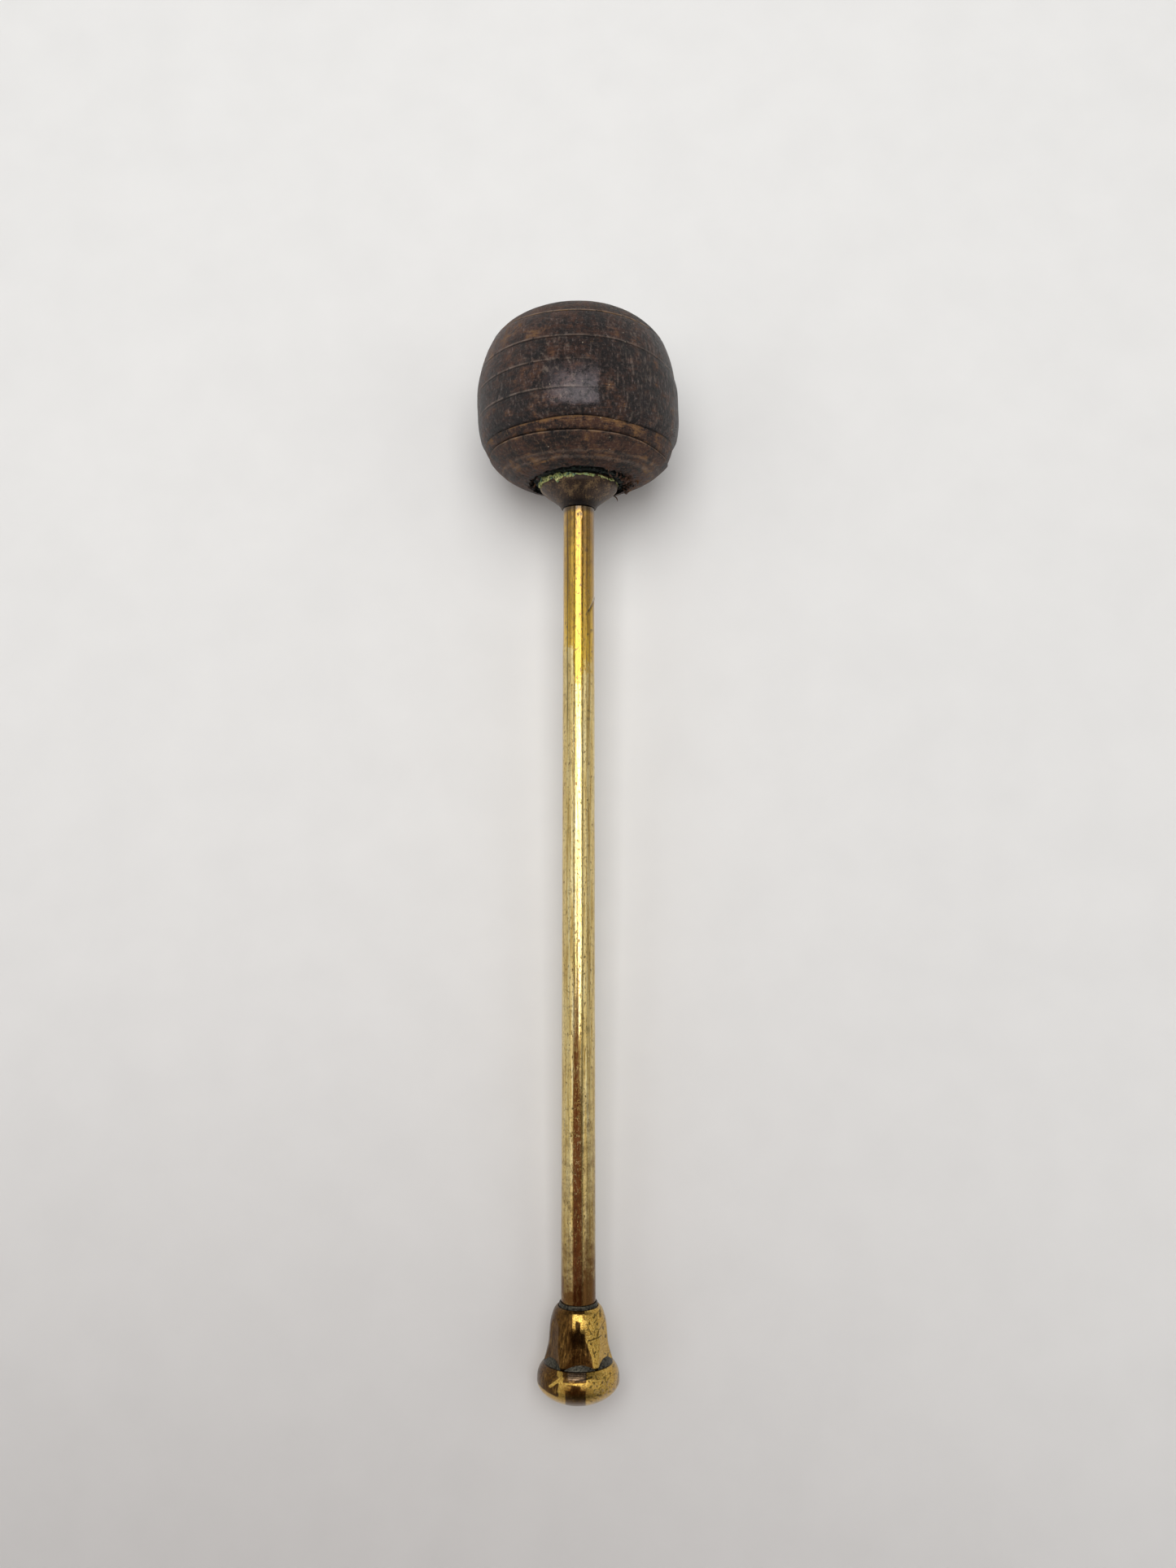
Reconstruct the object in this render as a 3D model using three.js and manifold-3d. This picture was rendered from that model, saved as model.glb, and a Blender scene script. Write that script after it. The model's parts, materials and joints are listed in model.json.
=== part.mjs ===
// A leather-headed brass beater for a dinner gong, lying on its side as it lies on a table.
// Millimetres, +Z up, +Y towards the leather head. Every piece is turned about one axis, so each is
// drawn as a profile of (radius, distance from the butt of the knob) and the axis is leant at the end.
import * as THREE from "three";
import { mergeVertices } from "three/addons/utils/BufferGeometryUtils.js";
import Module from "manifold-3d";

const wasm = await Module();
wasm.setup();

// ---- driving dimensions -------------------------------------------------------------------------
const GAP = 0.3; // clearance between neighbouring pieces

// the knob: a round bulb and the bell above it
const BULB_RADIUS = 12.3;
const BULB_WIDEST = 6.7; // distance of the widest circle from the butt face
const BULB_BELOW = 7.2; // reach of the swell towards the butt, cut off flat at the butt
const BULB_ABOVE = 7.6;
const BULB_RIM = 11.9; // the edge where the bulb ends and the bell begins
const BULB_SPIGOT_TOP = 36;
const COLLAR_BASE = 0.6; // thickness of the knob collar under the bell
const COLLAR_CONE = 2.2; // height of its cone against the six flats
const COLLAR_TAPER = 0.6; // how much the cone narrows over each millimetre of its height
const BELL_TOP = 28.3;
const BELL_APOTHEM = 9.2; // across the flats, halved, at the foot of the bell
const BELL_TAPER = 0.08; // how much the flats lean in over each millimetre, till they run out in the round
const BELL_RADIUS = 10.3; // radius of the flared foot of the bell, and of the collar
const BELL_TURN = THREE.MathUtils.degToRad(2.5); // turn of the flats from square with the pin
const RING_HEIGHT = 1.2;

// the handle
const TUBE_TOP = 270.6;
const TUBE_FOOT = 16.4; // hidden end, inside the bell
const TUBE_RADIUS_HEAD = 4.9;
const TUBE_RADIUS_KNOB = 5.2;
const SPINDLE_RADIUS = 3.1;
const SPINDLE_FOOT = 236;
const BORE = SPINDLE_RADIUS + GAP; // hole that the spindle or the spigot passes through
const PIN_RADIUS = 0.55;
const PIN_HEIGHT = 267.7; // distance of the cross pin from the butt
const FERRULE_RADIUS = 12.2;
const FERRULE_BACK = 279.1;

// the head
const HEAD_RADIUS = 31.5;
const HEAD_WIDEST = 301.5;
const HEAD_BELOW = 24.5;
const HEAD_ABOVE = 31.3;
const HEAD_FOOT = 278.7;
const HEAD_CROWN = 331.2;
const BASE_RECESS_RADIUS = 15.4;
const BASE_WASHER_RADIUS = 13.9;
const BASE_WASHER_THICKNESS = 1.4;
const CROWN_WASHER_RADIUS = 10.4;
const CROWN_WASHER_THICKNESS = 1.1;
const NUT_RADIUS = 6.6;
const NUT_HEIGHT = 3.3;
const NUT_ROOF = 0.9; // thickness of the nut over its blind bore
const DISC_EDGE = 0.7; // the worn round on the edge of a disc
const WORN_FLAT = 0.3; // depth of the flat that the head has worn where it lies

// Leather discs from the handle to the crown: where each ends, and how far it sits back.
const DISCS = [
  { name: "leather_disc_1_base", top: 286.8, inset: 0, colour: 0x54382f },
  { name: "leather_disc_2_thin", top: 289.8, inset: 0.9, colour: 0x6b4527 },
  { name: "leather_disc_3", top: 297.9, inset: 0, colour: 0x3d3236 },
  { name: "leather_disc_4", top: 306.1, inset: 0, colour: 0x3a3033 },
  { name: "leather_disc_5", top: 313.9, inset: 0, colour: 0x43332f },
  { name: "leather_disc_6", top: 323.3, inset: 0, colour: 0x4a342c },
  { name: "leather_disc_7_crown", top: HEAD_CROWN, inset: 0.2, colour: 0x3c2c25 },
];

const HEAD_SIDES = 40;
const ROUND_SIDES = 32;
const SQUARENESS = 2.7; // 2 would make each swell an ellipse, more makes it fuller

// ---- helpers ------------------------------------------------------------------------------------
const point = (radius, height) => new THREE.Vector2(radius, height);

// Radius of a full, rounded swell at a height along the axis.
function swell(height, widest, radius, below, above) {
  const reach = height < widest ? below : above;
  const along = Math.abs(height - widest) / reach;
  return radius * (1 - along ** SQUARENESS) ** (1 / SQUARENESS);
}

const headRadius = (height) => swell(height, HEAD_WIDEST, HEAD_RADIUS, HEAD_BELOW, HEAD_ABOVE);
const bulbRadius = (height) => swell(height, BULB_WIDEST, BULB_RADIUS, BULB_BELOW, BULB_ABOVE);

// A turned solid. A profile that doesn't start on the axis is closed back to its first point.
function turned(profile, sides = ROUND_SIDES) {
  const closed = profile[0].x === 0 ? profile : [...profile, profile[0].clone()];
  return new THREE.LatheGeometry(closed, sides);
}

function ring(inner, outer, foot, top, sides = ROUND_SIDES) {
  return turned([point(inner, foot), point(outer, foot), point(outer, top), point(inner, top)], sides);
}

function toSolid(geometry) {
  const bare = geometry.clone();
  bare.deleteAttribute("normal");
  bare.deleteAttribute("uv");
  const merged = mergeVertices(bare, 1e-4);
  const corners = merged.index.array;
  const kept = [];
  for (let i = 0; i < corners.length; i += 3) {
    const [a, b, c] = corners.slice(i, i + 3);
    if (a !== b && b !== c && c !== a) kept.push(a, b, c);
  }
  const vertProperties = new Float32Array(merged.attributes.position.array);
  return new wasm.Manifold(new wasm.Mesh({ numProp: 3, vertProperties, triVerts: new Uint32Array(kept) }));
}

function toGeometry(solid) {
  const mesh = solid.getMesh();
  const geometry = new THREE.BufferGeometry();
  geometry.setAttribute("position", new THREE.BufferAttribute(mesh.vertProperties, 3));
  geometry.setIndex(new THREE.BufferAttribute(mesh.triVerts, 1));
  geometry.computeVertexNormals();
  return geometry;
}

function piece(name, geometry, colour, roughness, metalness) {
  const mesh = new THREE.Mesh(geometry, new THREE.MeshStandardMaterial({ color: colour, roughness, metalness }));
  mesh.name = name;
  return mesh;
}

const brass = (name, geometry) => piece(name, geometry, 0xc8a556, 0.3, 1);
const steel = (name, geometry) => piece(name, geometry, 0x77726c, 0.45, 1);
const greyMetal = (name, geometry) => piece(name, geometry, 0x4d5356, 0.5, 1);

// ---- how the axis leans -------------------------------------------------------------------------
// The head is fatter than the knob, so on a table the head end rides higher.
const LEAN = Math.asin((HEAD_RADIUS - WORN_FLAT - BULB_RADIUS) / (HEAD_WIDEST - BULB_WIDEST));

// Height of the table under the axis at the butt, square to the table.
function tableBelowButt() {
  const steps = 40;
  let lowest = Infinity;
  for (let i = 0; i <= steps; i += 1) {
    const height = (BULB_RIM * i) / steps;
    lowest = Math.min(lowest, height * Math.sin(LEAN) - bulbRadius(height) * Math.cos(LEAN));
  }
  return -lowest;
}

// Everything that would sink into the table, as a block in the leant axis's own frame.
function tableBlock() {
  const side = 1000;
  const block = new THREE.BoxGeometry(side, side, side);
  block.translate(0, 0, -tableBelowButt() - side / 2);
  block.rotateX(-LEAN);
  return toSolid(block);
}

// ---- the knob -----------------------------------------------------------------------------------
function knobBulb() {
  const profile = [point(0, 0)];
  const steps = 12;
  for (let i = 0; i <= steps; i += 1) {
    const height = (BULB_RIM * i) / steps;
    profile.push(point(bulbRadius(height), height));
  }
  profile.push(point(SPINDLE_RADIUS, BULB_RIM), point(SPINDLE_RADIUS, BULB_SPIGOT_TOP), point(0, BULB_SPIGOT_TOP));
  return turned(profile, 36);
}

// A six-sided block that narrows upwards. Cutting with it leaves six flats that run out into the round.
function sixFlats(foot, top, apothemFoot, apothemTop) {
  const corner = 1 / Math.cos(Math.PI / 6);
  const block = new THREE.CylinderGeometry(apothemTop * corner, apothemFoot * corner, top - foot, 6, 1);
  block.rotateY(Math.PI / 6 + BELL_TURN);
  block.translate(0, (foot + top) / 2, 0);
  return toSolid(block);
}

const BELL_FOOT = BULB_RIM + GAP + COLLAR_BASE + GAP;

function flatsAround(clearance) {
  const below = BELL_FOOT - clearance;
  const above = BELL_TOP + 1;
  const apothem = (height) => BELL_APOTHEM + clearance - BELL_TAPER * (height - BELL_FOOT);
  return sixFlats(below, above, apothem(below), apothem(above));
}

function knobBell() {
  const outline = new THREE.SplineCurve([
    point(BELL_RADIUS, BELL_FOOT),
    point(9.5, 15),
    point(8.9, 17.9),
    point(8.6, 21.2),
    point(8.3, 23.6),
    point(7.6, 25.7),
    point(6.2, BELL_TOP),
  ]);
  const socket = TUBE_RADIUS_KNOB + GAP;
  const floor = TUBE_FOOT - GAP;
  const profile = [point(BORE, BELL_FOOT), ...outline.getPoints(16)];
  profile.push(point(socket, BELL_TOP), point(socket, floor), point(BORE, floor));
  return toGeometry(toSolid(turned(profile, 36)).intersect(flatsAround(0)));
}

// A grey collar under the bell. It shows as a lens in front of each of the bell's six flats.
function knobCollar() {
  const foot = BULB_RIM + GAP;
  const shoulder = foot + COLLAR_BASE;
  const cone = [
    point(BORE, foot),
    point(BELL_RADIUS, foot),
    point(BELL_RADIUS, shoulder),
    point(BELL_RADIUS - COLLAR_CONE * COLLAR_TAPER, shoulder + COLLAR_CONE),
    point(BORE, shoulder + COLLAR_CONE),
  ];
  return toGeometry(toSolid(turned(cone, 36)).subtract(flatsAround(GAP)));
}

function neckRing() {
  const bore = TUBE_RADIUS_KNOB + GAP;
  const foot = BELL_TOP + GAP;
  const top = foot + RING_HEIGHT;
  return turned([point(bore, foot), point(6.3, foot), point(5.9, top), point(bore, top)]);
}

// ---- the handle ---------------------------------------------------------------------------------
function crossPinHole(radius, length) {
  const hole = new THREE.CylinderGeometry(radius, radius, length, 12);
  hole.rotateX(Math.PI / 2);
  hole.translate(0, PIN_HEIGHT, 0);
  return hole;
}

function handleTube() {
  const profile = [
    point(BORE, TUBE_FOOT),
    point(TUBE_RADIUS_KNOB, TUBE_FOOT),
    point(TUBE_RADIUS_HEAD, TUBE_TOP),
    point(BORE, TUBE_TOP),
  ];
  const hole = toSolid(crossPinHole(PIN_RADIUS + GAP, 2 * TUBE_RADIUS_KNOB + 2));
  return toGeometry(toSolid(turned(profile)).subtract(hole));
}

function headSpindle() {
  const top = crownWasherTop() + NUT_HEIGHT - NUT_ROOF; // clear of the blind end of the nut
  const profile = [
    point(0, SPINDLE_FOOT),
    point(SPINDLE_RADIUS, SPINDLE_FOOT),
    point(SPINDLE_RADIUS, top),
    point(0, top),
  ];
  const hole = toSolid(crossPinHole(PIN_RADIUS + GAP, 2 * TUBE_RADIUS_KNOB));
  return toGeometry(toSolid(turned(profile, 24)).subtract(hole));
}

function ferrule() {
  const outline = new THREE.SplineCurve([
    point(5.4, TUBE_TOP + GAP),
    point(6.1, 272),
    point(7.9, 273.5),
    point(10.3, 275.2),
    point(11.8, 276.6),
    point(FERRULE_RADIUS, 277.8),
  ]);
  const profile = [point(BORE, TUBE_TOP + GAP), ...outline.getPoints(14)];
  profile.push(point(FERRULE_RADIUS, FERRULE_BACK - 0.4), point(FERRULE_RADIUS - 0.4, FERRULE_BACK));
  profile.push(point(BORE, FERRULE_BACK));
  return turned(profile);
}

// ---- the head -----------------------------------------------------------------------------------
const BASE_WASHER_FOOT = FERRULE_BACK + GAP;
const BASE_WASHER_TOP = BASE_WASHER_FOOT + BASE_WASHER_THICKNESS;
const CROWN_WASHER_FOOT = HEAD_CROWN - 1;

function crownWasherTop() {
  return CROWN_WASHER_FOOT + CROWN_WASHER_THICKNESS;
}

// One disc of thick leather, its edge cut to the swell of the whole head.
function leatherDisc(foot, top, inset, isBase, isCrown) {
  const radius = (height) => headRadius(height) - inset;
  const profile = [];
  if (isBase) {
    const recessTop = BASE_WASHER_TOP + GAP;
    profile.push(point(BORE, recessTop), point(BASE_RECESS_RADIUS, recessTop), point(BASE_RECESS_RADIUS, foot));
  } else {
    profile.push(point(BORE, foot), point(radius(foot) - DISC_EDGE, foot));
  }
  const steps = 6;
  const first = isBase ? foot : foot + DISC_EDGE;
  const last = isCrown ? top : top - DISC_EDGE;
  for (let i = 0; i <= steps; i += 1) {
    const height = first + ((last - first) * i) / steps;
    profile.push(point(radius(height), height));
  }
  if (isCrown) {
    const recessFoot = CROWN_WASHER_FOOT - GAP;
    const recess = CROWN_WASHER_RADIUS + GAP;
    profile.push(point(recess, top), point(recess, recessFoot), point(BORE, recessFoot));
  } else {
    profile.push(point(radius(top) - DISC_EDGE, top), point(BORE, top));
  }
  return turned(profile, HEAD_SIDES);
}

function leatherDiscs() {
  const table = tableBlock();
  let foot = HEAD_FOOT;
  return DISCS.map((disc, i) => {
    const isCrown = i === DISCS.length - 1;
    const top = isCrown ? disc.top : disc.top - GAP;
    const whole = leatherDisc(foot, top, disc.inset, i === 0, isCrown);
    foot = disc.top;
    return piece(disc.name, toGeometry(toSolid(whole).subtract(table)), disc.colour, 0.6, 0);
  });
}

// A low domed nut. Its bore is blind, so the end of the spindle is covered.
function crownNut() {
  const foot = crownWasherTop() + GAP;
  const top = foot + NUT_HEIGHT;
  const flat = NUT_RADIUS * 0.55; // radius of the flat on top of the dome
  const side = NUT_HEIGHT * 0.45;
  const profile = [point(BORE, foot), point(NUT_RADIUS, foot), point(NUT_RADIUS, foot + side)];
  const steps = 5;
  for (let i = 1; i <= steps; i += 1) {
    const turn = (Math.PI / 2) * (i / steps);
    const radius = flat + (NUT_RADIUS - flat) * Math.cos(turn);
    profile.push(point(radius, foot + side + (NUT_HEIGHT - side) * Math.sin(turn)));
  }
  profile.push(point(0, top));
  const ceiling = top - NUT_ROOF;
  return turned([point(0, ceiling), point(BORE, ceiling), ...profile], 24);
}

// ---- the whole beater ---------------------------------------------------------------------------
const axis = new THREE.Group();
axis.add(
  brass("knob_bulb", knobBulb()),
  greyMetal("knob_collar", knobCollar()),
  brass("knob_bell", knobBell()),
  greyMetal("neck_ring", neckRing()),
  brass("handle_tube", handleTube()),
  steel("cross_pin", crossPinHole(PIN_RADIUS, 2 * TUBE_RADIUS_HEAD - 0.6)),
  steel("head_spindle", headSpindle()),
  brass("neck_ferrule", ferrule()),
  brass("base_washer", ring(BORE, BASE_WASHER_RADIUS, BASE_WASHER_FOOT, BASE_WASHER_TOP)),
  ...leatherDiscs(),
  brass("crown_washer", ring(BORE, CROWN_WASHER_RADIUS, CROWN_WASHER_FOOT, crownWasherTop())),
  brass("crown_nut", crownNut()),
);
axis.rotation.x = LEAN;

// The origin is on the table, under the middle of the beater.
const beater = new THREE.Group();
beater.add(axis);
beater.updateMatrixWorld(true);
const box = new THREE.Box3().setFromObject(beater, true);
axis.position.set(0, -(box.min.y + box.max.y) / 2, -box.min.z);

export default beater;
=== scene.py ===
"""A leather-headed brass beater for a dinner gong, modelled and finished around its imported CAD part.

The beater is turned about one axis. Every piece is drawn in the axis's own frame, in millimetres:
X across, Y along the axis from the butt of the knob towards the leather head, Z away from the table.
An angle round the axis is 0 at the top, where Z points, and grows towards +X.
"""

import json
from math import asin, atan2, cos, exp, hypot, pi, radians, sin
from random import Random

import bmesh
import bpy
from bpy.props import FloatProperty, FloatVectorProperty, IntProperty, PointerProperty
from mathutils import Matrix, Vector, noise


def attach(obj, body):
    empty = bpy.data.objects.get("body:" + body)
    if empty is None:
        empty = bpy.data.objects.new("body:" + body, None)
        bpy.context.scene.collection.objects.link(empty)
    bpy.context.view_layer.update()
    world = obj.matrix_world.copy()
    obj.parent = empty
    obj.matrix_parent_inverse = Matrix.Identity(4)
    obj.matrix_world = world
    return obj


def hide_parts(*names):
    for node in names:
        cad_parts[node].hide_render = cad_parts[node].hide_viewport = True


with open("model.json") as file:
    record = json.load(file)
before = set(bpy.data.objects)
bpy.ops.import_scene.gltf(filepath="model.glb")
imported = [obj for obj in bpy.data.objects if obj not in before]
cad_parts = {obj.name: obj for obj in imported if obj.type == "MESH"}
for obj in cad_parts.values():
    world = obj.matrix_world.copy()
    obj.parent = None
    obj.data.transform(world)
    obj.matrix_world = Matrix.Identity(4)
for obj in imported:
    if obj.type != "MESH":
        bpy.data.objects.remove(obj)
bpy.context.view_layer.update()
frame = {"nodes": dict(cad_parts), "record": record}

bl_info = {
    "name": "Gong Beater",
    "version": (1, 0, 0),
    "blender": (4, 5, 0),
    "location": "3D View > Sidebar > Gong Beater",
    "description": "Builds a leather-headed brass gong beater on its packed frame",
    "category": "Object",
}

MM = 0.001
BODY = "root"

# ---- places, from the frame ---------------------------------------------------------------------
BUTT_FACE = {mount["name"]: mount for mount in frame["record"]["mounts"]}["butt_face"]
BUTT = Vector(BUTT_FACE["pos_m"])
ALONG = -Vector(BUTT_FACE["axis"]).normalized()
ACROSS = Vector((1, 0, 0))
AWAY = ACROSS.cross(ALONG)
LEAN = asin(ALONG.z)
TURN = Matrix((ACROSS, ALONG, AWAY)).transposed().to_4x4()
TO_ROW = Matrix.Translation(BUTT) @ TURN @ Matrix.Scale(MM, 4)
TO_AXIS = TO_ROW.inverted()


def reach(node):
    """Lowest and highest station along the axis, and the radius, of a CAD node, in millimetres."""
    corners = [TO_AXIS @ vertex.co for vertex in frame["nodes"][node].data.vertices]
    stations = [corner.y for corner in corners]
    return min(stations), max(stations), max(hypot(corner.x, corner.z) for corner in corners)


DISC_NAMES = [f"leather_disc_{n}" for n in ("1_base", "2_thin", "3", "4", "5", "6", "7_crown")]
DISCS = [reach(name) for name in DISC_NAMES]
SEAMS = [(below[1] + above[0]) / 2 for below, above in zip(DISCS, DISCS[1:])]
HEAD_FOOT = DISCS[0][0]
HEAD_CROWN = DISCS[-1][1]
HEAD_RADIUS = max(disc[2] for disc in DISCS)
BULB_RADIUS = reach("knob_bulb")[2]
COLLAR_FOOT, COLLAR_TOP, COLLAR_RADIUS = reach("knob_collar")
BULB_TOP = COLLAR_FOOT
BELL_FOOT, BELL_TOP, BELL_RADIUS = reach("knob_bell")
RING_TOP = reach("neck_ring")[1]
TUBE_FOOT, TUBE_TOP, TUBE_RADIUS = reach("handle_tube")
PIN_LOW, PIN_HIGH, _ = reach("cross_pin")
FERRULE_FOOT, FERRULE_TOP, FERRULE_RADIUS = reach("neck_ferrule")
WASHER_FOOT, WASHER_TOP, WASHER_RADIUS = reach("base_washer")
CROWN_FOOT, CROWN_TOP, CROWN_RADIUS = reach("crown_washer")
NUT_FOOT, NUT_TOP, NUT_RADIUS = reach("crown_nut")

# ---- shapes that the frame doesn't say, in millimetres --------------------------------------------
BORE = 3.4  # radius of the hidden hole down every piece, wider than the spindle
HEAD_WIDEST = 301.5  # station of the widest circle of the head
HEAD_BELOW = 24.5  # reach of the head's swell from there towards the handle, and to the crown
HEAD_ABOVE = 31.3
SQUARENESS = 2.7  # 2 would make a swell an ellipse, more makes it fuller
THIN_DISC_INSET = 0.5
HOLE_RADIUS = 15.4  # the ragged hole that the ferrule enters
BULB_WIDEST = 6.7
BULB_BELOW = 6.76
BULB_ROUND = 1.82  # squareness of the bulb below its widest circle
BULB_ABOVE = 7.6
TUBE_RADIUS_HEAD = 4.9
FLATS_APOTHEM = 8.9  # from the axis to the six flats of the bell, at its foot
FLATS_FRONT = 0.4  # how much further out the front flat is
FLATS_TAPER = 0.08  # how much the flats lean in over each millimetre
FLATS_TURN = radians(2.5)
SOCKET = 5.5  # radius of the bell's hole round the tube
CUT_LOW = 237.8  # where a curved cut in the side of the tube begins
TINY = 1e-4

# What is painted on the corners of the meshes for the finishes to read.
LEATHER_LAYERS = ("browned", "worn", "painted_shade_and_crud", "polished", "painted_highlights_and_scratches")
TUBE_LAYERS = ("lacquer", "tarnished", "smoked", "grime_and_painted_shade")
KNOB_LAYERS = ("tarnished", "grime_and_painted_shade", "silvered")


# ---- helpers --------------------------------------------------------------------------------------
def linear(colour):
    """Linear RGBA of an sRGB hex colour such as "c8a556"."""
    parts = [int(colour[i : i + 2], 16) / 255 for i in (0, 2, 4)]
    return tuple(c / 12.92 if c <= 0.04045 else ((c + 0.055) / 1.055) ** 2.4 for c in parts) + (1.0,)


def add(tree, kind, *inputs, named=None, stops=None, to=None, **settings):
    """Adds a shader node. Inputs and named sockets take a value, a socket or a node's first output. Stops
    are those of a colour ramp. The node's own first output can be linked to a socket."""
    made = tree.nodes.new("ShaderNode" + kind)
    for setting, value in settings.items():
        setattr(made, setting, value)
    for socket, value in [*enumerate(inputs), *(named or {}).items()]:
        if isinstance(value, bpy.types.Node):
            value = value.outputs[0]
        if isinstance(value, bpy.types.NodeSocket):
            tree.links.new(value, made.inputs[socket])
        elif value is not None:
            made.inputs[socket].default_value = value
    if stops:
        points = made.color_ramp.elements
        while len(points) < len(stops):
            points.new(1.0)
        for point, (position, colour) in zip(points, stops):
            point.position = position
            if isinstance(colour, str):
                colour = linear(colour)
            point.color = (colour, colour, colour, 1.0) if isinstance(colour, float) else colour
    if to is not None:
        tree.links.new(made.outputs[0], to)
    return made


def blend(tree, factor, first, second, kind="MIX"):
    """Mixes two colours by a factor. Returns the socket of the result."""
    mixed = add(tree, "Mix", factor, named={6: first, 7: second}, data_type="RGBA", blend_type=kind)
    return mixed.outputs[2]


def painted(tree, *names):
    """The sockets of what is painted on a mesh's corners under these names."""
    return [add(tree, "Attribute", attribute_name=name).outputs["Fac"] for name in names]


def start_finish(name):
    """An empty material, its tree, its Principled shader and the axis frame's millimetres as a vector."""
    finish = bpy.data.materials.new(name)
    finish.use_nodes = True
    tree = finish.node_tree
    tree.nodes.clear()
    shader = add(tree, "BsdfPrincipled")
    add(tree, "OutputMaterial", shader)
    place = add(tree, "TexCoord")
    axis = {"Location": BUTT, "Rotation": (LEAN, 0, 0), "Scale": (MM, MM, MM)}
    millimetres = add(tree, "Mapping", place.outputs["Object"], named=axis, vector_type="TEXTURE")
    return finish, tree, shader, millimetres


def smooth(low, high, value):
    """0 at low, 1 at high and beyond, and an even curve between. High may be the smaller."""
    share = min(max((value - low) / (high - low), 0.0), 1.0)
    return share * share * (3 - 2 * share)


def near(value, centre, width):
    """1 at the centre, fading to 0 a few widths away."""
    return exp(-(((value - centre) / width) ** 2))


def near_angle(angle, centre, width):
    """The same round the axis, with angles in degrees."""
    away = (angle - centre + 180) % 360 - 180
    return exp(-((away / width) ** 2))


def swell(station, widest, radius, below, above):
    """Radius of a full, rounded swell at a station along the axis."""
    span = below if station < widest else above
    along = min(abs(station - widest) / span, 1.0)
    return radius * (1 - along**SQUARENESS) ** (1 / SQUARENESS)


def head_radius(station):
    return swell(station, HEAD_WIDEST, HEAD_RADIUS, HEAD_BELOW, HEAD_ABOVE)


def bulb_radius(station):
    """Full above its widest circle and round below it."""
    if station > BULB_WIDEST:
        return swell(station, BULB_WIDEST, BULB_RADIUS, BULB_BELOW, BULB_ABOVE)
    return BULB_RADIUS * (1 - ((BULB_WIDEST - station) / BULB_BELOW) ** BULB_ROUND) ** (1 / BULB_ROUND)


def evenly(points, step):
    """The same line of (radius, station) points with corners at most a step apart."""
    line = [points[0]]
    for start, end in zip(points, points[1:]):
        pieces = max(1, round(hypot(end[0] - start[0], end[1] - start[1]) / step))
        for i in range(1, pieces + 1):
            share = i / pieces
            line.append(tuple(a + (b - a) * share for a, b in zip(start, end)))
    return line


def resampled(points, step):
    """A smooth line of (radius, station) points, spaced out again at one even step."""
    lengths = [hypot(b[0] - a[0], b[1] - a[1]) for a, b in zip(points, points[1:])]
    count = max(2, round(sum(lengths) / step))
    line = [points[0]]
    spacing = sum(lengths) / count
    walked = 0.0
    for (a, b), length in zip(zip(points, points[1:]), lengths):
        while len(line) < count and walked + length >= spacing * len(line):
            share = (spacing * len(line) - walked) / length
            line.append((a[0] + (b[0] - a[0]) * share, a[1] + (b[1] - a[1]) * share))
        walked += length
    return line + [points[-1]]


def arc(centre, radius, first, last, steps=6):
    """Profile points on an arc about (radius, station). 0 degrees points outwards and 90 to the head."""
    turns = [radians(first + (last - first) * i / steps) for i in range(steps + 1)]
    return [(centre[0] + radius * cos(turn), centre[1] + radius * sin(turn)) for turn in turns]


def curve(corners, steps=6):
    """A smooth line through (radius, station) corners."""
    ends = [corners[0], *corners, corners[-1]]
    line = []
    for a, b, c, d in zip(ends, ends[1:], ends[2:], ends[3:]):
        for i in range(steps):
            t = i / steps
            weights = (
                (-t + 2 * t**2 - t**3) / 2,
                (2 - 5 * t**2 + 3 * t**3) / 2,
                (t + 4 * t**2 - 3 * t**3) / 2,
                (t**3 - t**2) / 2,
            )
            line.append(tuple(sum(w * p[k] for w, p in zip(weights, (a, b, c, d))) for k in (0, 1)))
    return line + [corners[-1]]


def turned(profile, steps, closed=True):
    """Spins a profile of (radius, station) points round the axis."""
    mesh = bmesh.new()
    corners = [mesh.verts.new((0, station, radius)) for radius, station in profile]
    pairs = list(zip(corners, corners[1:])) + ([(corners[-1], corners[0])] if closed else [])
    edges = [mesh.edges.new(pair) for pair in pairs]
    bmesh.ops.spin(
        mesh,
        geom=corners + edges,
        cent=(0, 0, 0),
        axis=(0, 1, 0),
        dvec=(0, 0, 0),
        angle=2 * pi,
        steps=steps,
        use_merge=True,
    )
    bmesh.ops.remove_doubles(mesh, verts=mesh.verts, dist=TINY)
    bmesh.ops.recalc_face_normals(mesh, faces=mesh.faces)
    return mesh


def polar(point):
    """Radius, and angle round the axis in degrees, of a point in the axis frame."""
    return hypot(point.x, point.z), atan2(point.x, point.z) * 180 / pi


def set_radius(vertex, radius):
    """Moves a vertex straight in or out to a radius."""
    scale = radius / max(hypot(vertex.co.x, vertex.co.z), TINY)
    vertex.co.x *= scale
    vertex.co.z *= scale


def add_layers(mesh, *names):
    """Layers to paint on the corners of a mesh, by name."""
    return {name: mesh.verts.layers.float.new(name) for name in names}


def rough(point, size, seed=0):
    """Soft noise from -1 to 1 whose lumps are about this size in millimetres."""
    return noise.noise(point / size + Vector((seed * 7.3, seed * 3.1, seed * 5.7)))


def place(name, mesh, finish, slot, *stands_for, sharp=40):
    """Puts a mesh from the axis frame in its place as a piece of the beater."""
    bmesh.ops.transform(mesh, matrix=TO_ROW, verts=mesh.verts)
    data = bpy.data.meshes.new(name)
    mesh.to_mesh(data)
    mesh.free()
    data.materials.append(finish)
    data.shade_smooth()
    data.set_sharp_from_angle(angle=radians(sharp))
    piece = bpy.data.objects.new(name, data)
    bpy.context.scene.collection.objects.link(piece)
    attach(piece, BODY)
    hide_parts(*stands_for)
    return piece


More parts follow.
